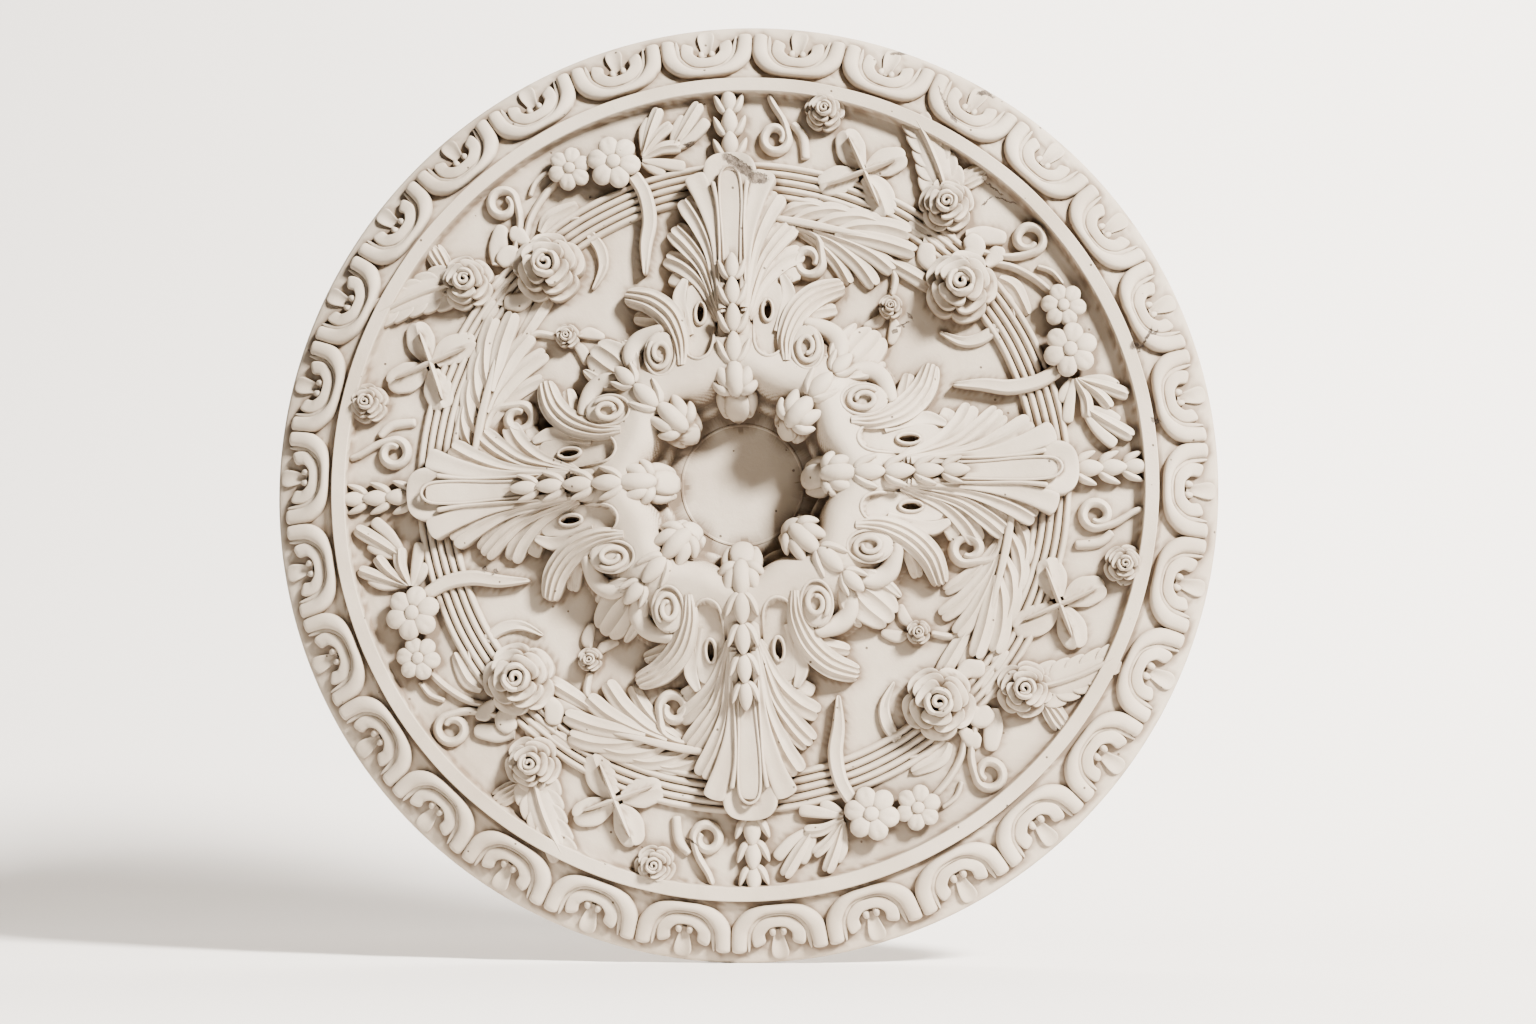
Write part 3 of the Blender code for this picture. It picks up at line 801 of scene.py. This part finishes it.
bm = bmesh.new()
for y, width, length in OUTER_HUSKS:
    husk(bm, (0, y), FIELD_HEIGHT + 7, 0, width, length, rise=2.0)
for y, height, width, length in STEM_HUSKS:
    husk(bm, (0, y), height, 0, width, length, rise=-1.0)
tulip(bm, 0, 84, 9.6, 33, 70.5)
tulip(bm, 45, 74, 9.6, 31, 70.5)
husk(bm, (80.5, 83.5), 73, 45, 8.0, 31, rise=0.0, open_angle=0.95)
husk(bm, (101, 104), 66, 45, 6.6, 26, rise=-3.0, open_angle=0.95)
cup(bm, 0)
cup(bm, 45)
finish_piece("husk_chains", bm, QUARTERS)

# %% [markdown]
# Between the shoulders a broad fluted leaf ends each diagonal chain, and a narrow leaf
# lies on either side of it.

# %% Diagonal leaves
bm = bmesh.new()
broad = turned([(0, 146, 58), (0, 168, 48), (-2, 194, 34)], 45)
blade(bm, broad, (9, 20, 17), flutes=3, crown=1.0, groove=3.0, edge=2.0, rows=22, notch=0.25)
for side, reach in ((-1, 185), (1, 176)):
    narrow = turned([(side * 9, 138, 60), (side * 20, 156, 50), (side * 23, reach, 32)], 45)
    strand(bm, narrow, lens(6.5, 7.0, 0.5), root=22.0, rings=18, sides=12, crease=0.35)
finish_piece("diagonal_leaves", bm, QUARTERS)

# %% [markdown]
# The acanthus is the main leaf. Its blades start beside the stem and fan out in order,
# the lowest first, so that each higher one overlaps the one below. The middle blade
# widens to a round head that leans out over the reeds, with a tongue laid on it.

# %% Acanthus: heights and blades


def leaf_height(x, y):
    """Height of the acanthus as a whole: high along its stem, falling to both sides."""
    spine = reading((74, 70, 62, 54, 48, 45, 44, 46, 50), (y - 100) / 220)
    return spine - 0.0031 * x * x


def over_leaf(points, lift):
    return [(x, y, leaf_height(x, y) + lift) for x, y in points]


def oval(centre, half_width, half_length, steps):
    """Places on an oval, from its top and back to it."""
    angles = [math.tau * step / steps for step in range(steps + 1)]
    return [(centre[0] + half_width * math.sin(a), centre[1] + half_length * math.cos(a)) for a in angles]


ACANTHUS_BLADES = (
    (((14, 152), (29, 174), (46, 192), (62, 200)), (3.5, 6.0, 7.0, 6.5), 1, -5.0),
    (((13, 152), (28, 188), (47, 210), (66, 221)), (4.0, 7.0, 9.5, 10.0), 2, -2.8),
    (((12, 154), (25, 203), (41, 230), (58, 249)), (4.0, 7.5, 11.0, 12.0), 3, -0.4),
    (((11, 158), (19, 215), (31, 250), (46, 276)), (4.0, 6.0, 9.5, 11.0), 2, 2.2),
    (((10, 162), (14, 225), (23, 266), (35, 297)), (4.0, 5.5, 8.5, 11.0), 1, 4.6),
)
SLIT = (32.0, 160.0)
SLIT_SIZE = (3.6, 9.0)

print("acanthus blades on each side:", len(ACANTHUS_BLADES))

# %% [markdown]
# Beside the stem lies a smooth cheek with a small dark slit in it. The cheek is a wide
# blade without flutes, and its points inside the slit's oval are pushed down. The fan
# of blades comes next, then the head with its tongue, and last the fine raised lines.

# %% Acanthus: cheeks, blades and head
bm = bmesh.new()
for mirror in (list, flipped):
    cheek = over_leaf([(33, 114), (33, 138), (33, 164), (37, 190)], -4.0)
    blade(bm, mirror(cheek), (10, 14, 13.5, 8), crown=-1.5, groove=0.0, edge=0.5, rows=56, columns=24)
for v in bm.verts:
    away = math.hypot((abs(v.co.x) - SLIT[0]) / SLIT_SIZE[0], (v.co.y - SLIT[1]) / SLIT_SIZE[1])
    if v.co.z > FOOT + 1:
        v.co.z -= 14.0 * (1 - smooth_step(away, 0.85, 1.1))
for route, widths, flutes, lift in ACANTHUS_BLADES:
    drawn = over_leaf(route, lift)
    for points in (drawn, flipped(drawn)):
        blade(bm, points, widths, flutes=flutes, crown=1.5, groove=3.0, edge=1.4, notch=0.6, rows=26)
head = over_leaf([(0, 190), (0, 225), (0, 262), (0, 290), (0, 318)], 2.0)
head_widths = (13.0, 14.0, 19.0, 25.0, 26.0)
blade(bm, head, head_widths, crown=0.0, groove=2.5, edge=2.5, dish=6.0, rows=34, columns=20)
ridge = over_leaf([(12.0, 188), (12.0, 230), (13.0, 262), (16.5, 288)], 4.2)
tongue = over_leaf([(0, 200), (0, 235), (0, 268), (0, 298)], 4.0)
blade(bm, tongue, (7.0, 8.6, 10.4, 10.0), crown=-0.6, groove=0.0, edge=0.8, rows=26, columns=14)
border = [(7.2, 198), (8.8, 235), (10.6, 268), (9.0, 294), (0, 302)]
border = over_leaf(border + [(-x, y) for x, y in reversed(border[:-1])], 4.4)
strand(bm, border, bar((1.1, 1.3, 1.3, 1.1), 1.6, 0.02), rings=60, sides=8)
stem = over_leaf([(0, 104), (0, 140), (0, 175), (0, 212)], -2.0)
blade(bm, stem, (13, 15, 15, 11), crown=2.0, groove=0.0, edge=2.0, rows=20, columns=12)
curling = over_leaf([(41, 138), (48, 158), (52, 178), (46, 196)], 0.0)
slit = over_leaf(oval(SLIT, 5.0, 11.0, 16), -4.0)
lip = [(18.5, 168), (18.6, 142), (19.5, 127), (24.0, 117), (33, 113), (42.0, 117), (46.5, 127), (47.0, 138)]
lip = [(x, y, bed(x, y) + 0.3) for x, y in lip]
for mirror in (list, flipped):
    blade(bm, mirror(curling), (3.5, 5.5, 6.5, 3.0), crown=1.0, groove=2.4, edge=1.2)
    strand(bm, mirror(slit), bar((1.3, 1.9, 1.3), 2.6, 0.03), rings=36, sides=10, root=6.0)
    strand(bm, mirror(lip), bar((1.0, 1.3, 1.5, 1.3, 1.0), 1.8, 0.05), rings=34, sides=8, root=6.0)
    strand(bm, mirror(ridge), bar((1.0, 1.4, 1.8, 2.4), 2.4, 0.05), rings=26, sides=10)
finish_piece("acanthus_leaves", bm, QUARTERS)

# %% [markdown]
# Beside each acanthus a scroll rolls up into a volute. Its eye is a hollow with a
# spiral inside, and a fluted leaf sweeps back from it over the field. A smooth hood
# bends round the outer side of the eye.

# %% Volutes
EYE_HEIGHT = 66.5
EYE_FALL = (0.096, 0.24)


def eye_height(x, y):
    """The eye lies on a slope that falls outward and away from the axis."""
    return EYE_HEIGHT - EYE_FALL[0] * (x - EYE[0]) - EYE_FALL[1] * (y - EYE[1])


bm = bmesh.new()
for mirror in (list, flipped):
    roll = spiral(EYE, 4.0, 11.2, 1.45, (71.5, 67.5), 200, 1.42, clockwise=-1, count=44)
    strand(bm, mirror(roll), bar((2.0, 2.5, 2.7, 2.4), 3.4, 0.05), rings=60, sides=14, root=9.0, square=0.7)
    disc = [(EYE[0], EYE[1] + y, EYE_HEIGHT - fall) for y, fall in ((-21, 0), (0, 1), (21, 4))]
    strand(bm, mirror(disc), lens(14.0, 3.0, 0.5), rings=20, sides=20, root=12.0, square=0.6)
    rim = [(x, y, eye_height(x, y)) for x, y in oval(EYE, 14.6, 21.2, 24)]
    strand(bm, mirror(rim), bar((1.2, 1.5, 1.2), 1.6, 0.02), rings=64, sides=8, root=9.0)
    sweep = [(49, 108, 70), (50, 132, 67), (61, 158, 57), (80, 176, 45), (105, 185, 35)]
    sweep_widths = (5.0, 9.0, 12.0, 12.0, 8.5)
    blade(bm, mirror(sweep), sweep_widths, flutes=4, crown=4.0, groove=3.0, edge=2.0, rows=36, notch=0.3)
    second = [(53, 118, 67), (58, 140, 61), (71, 156, 49), (97, 163, 33)]
    second_widths = (3.5, 6.0, 8.0, 6.0)
    blade(bm, mirror(second), second_widths, flutes=2, crown=2.5, groove=2.6, rows=28, notch=0.3)
    hood = [(97, 104, 60), (99, 122, 54), (90, 137, 52), (67, 146, 58)]
    blade(bm, mirror(hood), (4.0, 8.5, 9.0, 6.5), crown=4.0, groove=0.0, edge=2.0, rows=24, columns=12)
finish_piece("volutes", bm, QUARTERS)

# %% [markdown]
# The garland's roses differ in size and height. The bud by the rim is the same flower
# with fewer petals.

# %% Roses
bm = bmesh.new()
rose(bm, (215, 178), 34, 65, phase=20)
rose(bm, (205, 258), 26, 54, phase=75)
rose(bm, (92, 356), 19, 47, phase=10)
rose(bm, (148, 162), 14.0, 42, phase=50, rows=2)
finish_piece("roses", bm, QUARTERS)

# %% [markdown]
# Two six-petalled blossoms lie beside each other. Their petals are round cushions with
# a shallow dent, set round a ball.

# %% Blossoms


def cushion(bm, centre, degrees, reach, radius, height, dent):
    ball = bmesh.ops.create_uvsphere(bm, u_segments=16, v_segments=12, radius=1.0)
    heading = math.radians(degrees)
    for v in ball["verts"]:
        side, out, up = v.co.x, v.co.y, v.co.z
        level = up * radius * 0.52 if up > 0 else up * radius
        if up > 0:
            level -= dent * math.exp(-((side / 0.22) ** 2)) * (0.5 + 0.5 * out)
        a = side * radius * 0.94
        b = reach + out * radius
        x = centre[0] + a * math.cos(heading) + b * math.sin(heading)
        y = centre[1] - a * math.sin(heading) + b * math.cos(heading)
        v.co = (x, y, height + level - 0.12 * b)


def blossom(bm, centre, radius, top, phase):
    for item in range(6):
        cushion(bm, centre, phase + item * 60, radius * 0.60, radius * 0.41, top - 5.5, 1.6)
    cushion(bm, centre, 0, 0.0, radius * 0.28, top - 3.5, 0.0)
    trunk = [(centre[0] + share * radius, centre[1], FIELD_HEIGHT) for share in (-0.5, 0.5)]
    strand(bm, trunk, lens(radius * 0.6, top - FIELD_HEIGHT - 9, 0.5), rings=10)


bm = bmesh.new()
blossom(bm, (315, 112), 26, 46, 12)
blossom(bm, (311, 155), 21.5, 42, 40)
finish_piece("blossoms", bm, QUARTERS)

# %% [markdown]
# Tendrils curl into rings, a ribbon crosses the reeds, and stems join the flowers.

# %% Tendrils and stems


def flat(points, height):
    return [(x, y, height) for x, y in points]


def tendril(bm, stem, centre, radius, first, last, widths, height, inner=0.45):
    """A stem that rolls into a ring and goes on a little inside it. The angles are clockwise degrees."""
    route = flat(stem, FIELD_HEIGHT + 1)
    steps = 16
    for step in range(steps + 1):
        share = step / steps
        reach = radius * (1 - (1 - inner) * smooth_step(share, 0.62, 1.0))
        route.append(around(centre, reach, first + (last - first) * share, FIELD_HEIGHT + 1))
    strand(bm, route, bar(widths, height, 0.03), rings=48, sides=12)


bm = bmesh.new()
tendril(bm, ((39, 377), (43, 366), (52, 350)), (44, 332), 12.0, 75, 490, (3.2, 4.6, 4.8, 4.6, 3.0), 8.0)
tendril(bm, ((232, 213), (250, 208), (268, 206)), (283, 222), 12.5, 170, -235, (3.5, 4.5, 4.8, 4.5, 3.0), 8.0)
tendril(bm, ((57, 244), (70, 241), (82, 232)), (72, 210), 12.5, 75, 480, (4.0, 5.2, 5.6, 5.0, 3.4), 9.5)
ribbon = flat(((304, 95), (284, 84), (258, 80), (232, 84), (204, 85)), FIELD_HEIGHT + 7)
ribbon_widths = bar((6.5, 7.0, 7.2, 6.0, 2.0), 6.5, 0.05)
strand(bm, ribbon, ribbon_widths, rings=30, sides=14, root=9.0, square=0.55, crease=0.22)
sickle = flat(((249, 140), (233, 129), (214, 127), (193, 137)), FIELD_HEIGHT)
strand(bm, sickle, bar((5.0, 6.2, 5.0, 1.6), 6.5, 0.07), rings=24, sides=12, square=0.6, crease=0.3)
STEMS = (
    (((243, 202), (266, 196), (288, 182), (306, 164)), (3.4, 3.8, 3.6), 7.5),
    (((288, 196), (302, 190), (312, 177)), (2.6, 2.8, 2.2), 6.0),
    (((146, 205), (153, 192), (149, 173)), (3.2, 4.0, 3.4), 6.5),
    (((60, 347), (70, 334), (72, 311)), (4.0, 5.0, 4.6), 6.5),
    (((182, 200), (160, 214), (132, 232)), (3.5, 4.5, 3.0), 5.0),
    (((250, 176), (262, 165), (264, 148)), (3.0, 3.2, 2.0), 6.0),
)
for route, widths, height in STEMS:
    strand(bm, flat(route, FIELD_HEIGHT), bar(widths, height, 0.08), sides=12)
finish_piece("tendrils", bm, QUARTERS)

# %% [markdown]
# Single leaves fill the garland: the cross of four with two crossing rods, the long
# feathered leaf that reaches over the fillet, and those round the roses and buds.

# %% Single leaves
SINGLE_LEAVES = (
    (((125, 300), (117, 316), (111, 338)), (6.0, 14.0, 13.0), 2, 9.0),
    (((131, 297), (148, 304), (169, 309)), (6.0, 13.5, 12.5), 2, 9.0),
    (((121, 293), (104, 289), (83, 284)), (6.0, 14.0, 13.0), 2, 10.0),
    (((129, 290), (140, 275), (148, 250)), (6.5, 14.0, 13.0), 2, 10.0),
    (((222, 230), (238, 228), (261, 224)), (4.0, 9.0, 6.5), 1, 8.5),
    (((192, 196), (184, 208), (186, 222)), (5.0, 9.0, 8.0), 1, 12.0),
    (((222, 205), (230, 216), (222, 226)), (6.0, 10.0, 8.0), 1, 13.0),
    (((240, 198), (250, 208), (252, 216)), (4.0, 8.0, 6.5), 1, 11.0),
    (((252, 186), (266, 176), (278, 150)), (4.0, 8.0, 5.0), 2, 6.5),
    (((143, 158), (134, 149), (121, 145)), (2.5, 5.5, 3.5), 1, 7.0),
    (((149, 152), (151, 142), (146, 127)), (2.5, 6.0, 3.5), 1, 7.0),
    (((190, 240), (178, 236), (168, 244)), (5.0, 8.0, 6.5), 1, 8.0),
    (((182, 226), (196, 224), (212, 230)), (5.0, 9.0, 7.0), 1, 7.0),
)
bm = bmesh.new()
for route, widths, flutes, height in SINGLE_LEAVES:
    leaf = flat(route, FIELD_HEIGHT + height - 2.5)
    blade(bm, leaf, widths, flutes=flutes, crown=3.0, groove=2.2, notch=0.2)
for route in (((114, 329), (127, 297), (141, 260)), ((92, 283), (127, 294), (158, 304))):
    rod = flat(route, FIELD_HEIGHT + 12)
    strand(bm, rod, lens(2.6, 5.5, 0.6, 0.6), rings=20, sides=10, root=8.0, square=1.3)

feather = flat(((205, 268), (199, 294), (190, 320), (177, 347)), FIELD_HEIGHT + 8)
blade(bm, feather, (6.0, 13.0, 14.0, 9.0, 3.0), crown=2.0, groove=0.0, edge=1.0, rows=16)
for step in range(5):
    start = 0.04 + step * 0.17
    root = along(feather, start)
    size = 1.0 - 0.09 * step
    for side in (-1, 1):
        aside = across(feather, start) * side * size
        reach = along(feather, min(start + 0.30, 1.0)) + aside * 15.0
        middle = along(feather, min(start + 0.12, 1.0)) + aside * 12.0 + Vector((0, 0, 2.0))
        lobe = [tuple(root), tuple(middle), tuple(reach)]
        blade(bm, lobe, (4.5 * size, 8.6 * size, 6.8 * size), crown=1.0, groove=2.6, edge=1.2, rows=14)
strand(bm, feather, bar((2.4, 2.8, 3.2, 2.2), 6.5, 0.12), rings=26, sides=10, root=10.0)
upright = flat(((214, 276), (228, 284), (243, 293)), FIELD_HEIGHT + 7)
blade(bm, upright, (5.0, 10.0, 11.0), flutes=4, crown=2.0, groove=2.4, edge=1.6, rows=20)
finish_piece("garland_leaves", bm, QUARTERS)

# %% [markdown]
# Fluted sprays fan out in two places: a broad one from behind the acanthus towards the
# roses, and two small ones beside the husks. Each lobe is a blade of its own.

# %% Sprays
SPRAY_LOBES = (
    (((58, 244), (80, 230), (98, 210), (110, 187)), (3.0, 6.0, 7.0, 5.0), 2, 5.0),
    (((66, 242), (94, 229), (118, 207), (134, 183)), (4.0, 7.5, 8.5, 6.5), 2, 7.5),
    (((78, 241), (112, 226), (134, 213), (152, 197)), (4.0, 7.0, 8.5, 6.5), 2, 9.5),
    (((44, 256), (58, 263), (74, 266), (88, 263)), (3.5, 6.5, 7.5, 5.5), 2, 6.0),
    (((58, 251), (76, 258), (96, 260), (114, 256)), (3.5, 7.0, 8.0, 6.0), 2, 7.5),
    (((80, 245), (100, 251), (122, 251), (142, 244)), (3.5, 7.5, 8.5, 6.5), 2, 9.0),
    (((100, 239), (122, 242), (146, 240), (170, 232)), (4.0, 7.5, 9.0, 7.0), 2, 10.5),
    (((98, 236), (120, 231), (146, 224), (174, 213)), (4.0, 7.0, 8.5, 6.5), 2, 12.0),
    (((140, 214), (156, 202), (174, 190), (192, 178)), (3.0, 6.5, 8.0, 5.5), 2, 6.5),
    (((142, 218), (158, 215), (170, 208), (184, 199)), (3.0, 5.5, 6.5, 4.0), 1, 5.0),
    (((42, 253), (70, 247), (100, 239), (128, 231)), (3.4, 3.8, 3.2, 1.6), 1, 14.0),
    (((-85, 322), (-84, 345), (-76, 358)), (2.5, 4.5, 4.2), 1, 7.0),
    (((-85, 322), (-77, 346), (-68, 368)), (2.5, 5.5, 5.0), 2, 9.0),
    (((-85, 321), (-70, 340), (-56, 351)), (2.5, 5.0, 4.6), 2, 9.5),
    (((-85, 319), (-66, 328), (-48, 329)), (2.5, 5.5, 5.0), 2, 9.5),
    (((-85, 317), (-66, 313), (-44, 309)), (2.5, 5.0, 4.5), 1, 8.5),
    (((-86, 315), (-76, 309), (-64, 304)), (2.5, 4.5, 4.0), 1, 7.0),
    (((-58, 328), (-52, 346), (-43, 358)), (2.5, 5.0, 4.5), 1, 7.0),
    (((-56, 328), (-44, 346), (-28, 371)), (2.5, 6.0, 5.5), 2, 9.0),
    (((-54, 326), (-36, 338), (-21, 354)), (2.5, 5.0, 4.5), 1, 8.0),
)
SPRAY_TIP = 1.35

bm = bmesh.new()
for route, widths, flutes, height in SPRAY_LOBES:
    root = (*route[0], FIELD_HEIGHT + height - 2.0)
    middle = [(x, y, FIELD_HEIGHT + height) for x, y in route[1:-1]]
    tip = (*route[-1], FIELD_HEIGHT + height - 0.5)
    fuller = (*widths[:-1], widths[-1] * SPRAY_TIP)
    blade(bm, (root, *middle, tip), fuller, flutes=flutes, crown=3.0, groove=2.4, edge=1.6, rows=24)
finish_piece("sprays", bm, QUARTERS)

# %% [markdown]
# Shade is painted into the hollows as brown. A map of the whole rose holds the height of
# the highest point in every small cell, and a blur spreads it. Where a point lies well
# below the blurred map it lies in a hollow, and the deeper it lies, the darker the painted
# shade. Each point keeps its share as an attribute, and the material reads it.

# %% Painted shade in the hollows
CELL = 2.0
# Reach, depth and strength of the painted shade, at a fine and a broad scale.
HOLLOWS = ((1, 4.5, 0.9), (5, 15.0, 0.85))


def blurred(grid, reach):
    total = np.zeros_like(grid)
    for shift in range(-reach, reach + 1):
        total += np.roll(grid, shift, axis=0)
    grid, total = total / (2 * reach + 1), np.zeros_like(grid)
    for shift in range(-reach, reach + 1):
        total += np.roll(grid, shift, axis=1)
    return total / (2 * reach + 1)


def places(mesh):
    flat_list = np.empty(len(mesh.vertices) * 3)
    mesh.vertices.foreach_get("co", flat_list)
    return flat_list.reshape(-1, 3) / MM


def cells(points):
    return tuple(((points[:, axis] + RADIUS + 20) / CELL).astype(int) for axis in (0, 2))


side_cells = int((2 * RADIUS + 40) / CELL) + 1
relief = np.zeros((side_cells, side_cells))
for piece in made.values():
    points = places(piece.data)
    np.maximum.at(relief, cells(points), -points[:, 1])
for spread in range(3):
    filled = np.maximum.reduce([np.roll(relief, shift, axis) for shift in (-1, 1) for axis in (0, 1)])
    relief = np.where(relief > 0, relief, filled)
blurs = [blurred(relief, reach) for reach, depth, strength in HOLLOWS]
for piece in made.values():
    points = places(piece.data)
    share = np.zeros(len(points))
    for blur, (reach, depth, strength) in zip(blurs, HOLLOWS):
        hollow = np.clip((blur[cells(points)] + points[:, 1] - 0.6) / depth, 0, 1)
        share = np.maximum(share, strength * hollow**0.8)
    # Each point's share of painted shade goes into its attribute.
    attribute = piece.data.attributes.new(PAINTED_SHADE_ATTRIBUTE, "FLOAT", "POINT")
    attribute.data.foreach_set("value", share)
# The mean share of painted shade on the last piece.
print("mean grime on the", piece.name, round(float(share.mean()), 3))

# %% [markdown]
# The pieces now stand for the solid, which stays in the physics.

# %% Replace the solid
for piece in made.values():
    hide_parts("ceiling_rose")
print(len(made), "pieces replace the solid")

# %% [markdown]
# The rose stands on a pale floor that sweeps up behind it. It has rolled on its rim by
# about two degrees, so the floor is turned against it by the same angle.

# %% Floor
LEAN = math.radians(1.93)
LEANING = Matrix.Rotation(LEAN, 4, "Y")
FLOOR_COLOUR = (0.80, 0.775, 0.745, 1.0)


def backdrop():
    bm = bmesh.new()
    reach, sweep, half = 0.5, 1.2, 5.0
    floor = -RADIUS * MM
    profile = [(-0.85, floor), (reach, floor)]
    for step in range(1, 17):
        angle = math.pi / 2 * step / 16
        profile.append((reach + sweep * math.sin(angle), floor + sweep * (1 - math.cos(angle))))
    profile.append((reach + sweep, 5.0))
    corners = [bm.verts.new((-half, y, z)) for y, z in profile]
    edges = [bm.edges.new(pair) for pair in zip(corners, corners[1:])]
    side = bmesh.ops.extrude_edge_only(bm, edges=edges)["geom"]
    far = [item for item in side if isinstance(item, bmesh.types.BMVert)]
    bmesh.ops.translate(bm, verts=far, vec=(2 * half, 0, 0))
    bmesh.ops.recalc_face_normals(bm, faces=bm.faces)
    bm.transform(LEANING)
    mesh = bpy.data.meshes.new("studio_floor")
    bm.to_mesh(mesh)
    bm.free()
    mesh.shade_smooth()
    material = bpy.data.materials.new("studio_paper")
    material.use_nodes = True
    shader = material.node_tree.nodes["Principled BSDF"]
    shader.inputs["Base Color"].default_value = FLOOR_COLOUR
    shader.inputs["Roughness"].default_value = 0.9
    shader.inputs["Specular IOR Level"].default_value = 0.1
    mesh.materials.append(material)
    floor_object = bpy.data.objects.new("studio_floor", mesh)
    bpy.context.scene.collection.objects.link(floor_object)


backdrop()

# %% [markdown]
# A soft key light stands high on the right in front, so that shadows fall down and to
# the left, also on the floor. The pale floor fills them. A weak lamp lifts the backdrop.

# %% Light


def area_light(name, place, target, size, power, colour, spread=math.pi):
    light = bpy.data.lights.new(name, "AREA")
    light.size = size
    light.energy = power
    light.color = colour
    light.spread = spread
    lamp = bpy.data.objects.new(name, light)
    place = LEANING @ Vector(place)
    lamp.location = place
    lamp.rotation_mode = "QUATERNION"
    lamp.rotation_quaternion = (LEANING @ Vector(target) - place).to_track_quat("-Z", "Y")
    bpy.context.scene.collection.objects.link(lamp)


area_light("key", (4.1, -4.3, 3.75), (0, 0, 0), 1.2, 3500, (1.0, 0.955, 0.90))
area_light("backdrop", (0.2, 0.5, 3.2), (0.1, 1.7, 1.4), 1.0, 20, (1.0, 0.965, 0.93), math.radians(80))

world = bpy.data.worlds.new("studio")
world.use_nodes = True
world.node_tree.nodes["Background"].inputs["Color"].default_value = (1.0, 0.985, 0.965, 1.0)
world.node_tree.nodes["Background"].inputs["Strength"].default_value = 0.02
bpy.context.scene.world = world

# %% [markdown]
# The camera stands below the middle and a little to the right, looking up by 6.6
# degrees. Its place and its angles come from the ellipses that the rim and the fillet
# make in the photograph.

# %% Camera
CAMERA_PLACE = Vector((0.189, -2.427, -0.307))
CAMERA_PITCH = math.radians(6.62)
CAMERA_YAW = math.radians(3.9)

camera_data = bpy.data.cameras.new("camera")
camera_data.sensor_width = 36.0
camera_data.lens = 60.0
camera_data.clip_start = 0.05
camera_data.clip_end = 50.0
camera = bpy.data.objects.new("camera", camera_data)
bpy.context.scene.collection.objects.link(camera)
aim = Matrix.Rotation(CAMERA_YAW, 4, "Z") @ Matrix.Rotation(math.radians(90) + CAMERA_PITCH, 4, "X")
camera.matrix_world = LEANING @ Matrix.Translation(CAMERA_PLACE) @ aim
bpy.context.scene.camera = camera
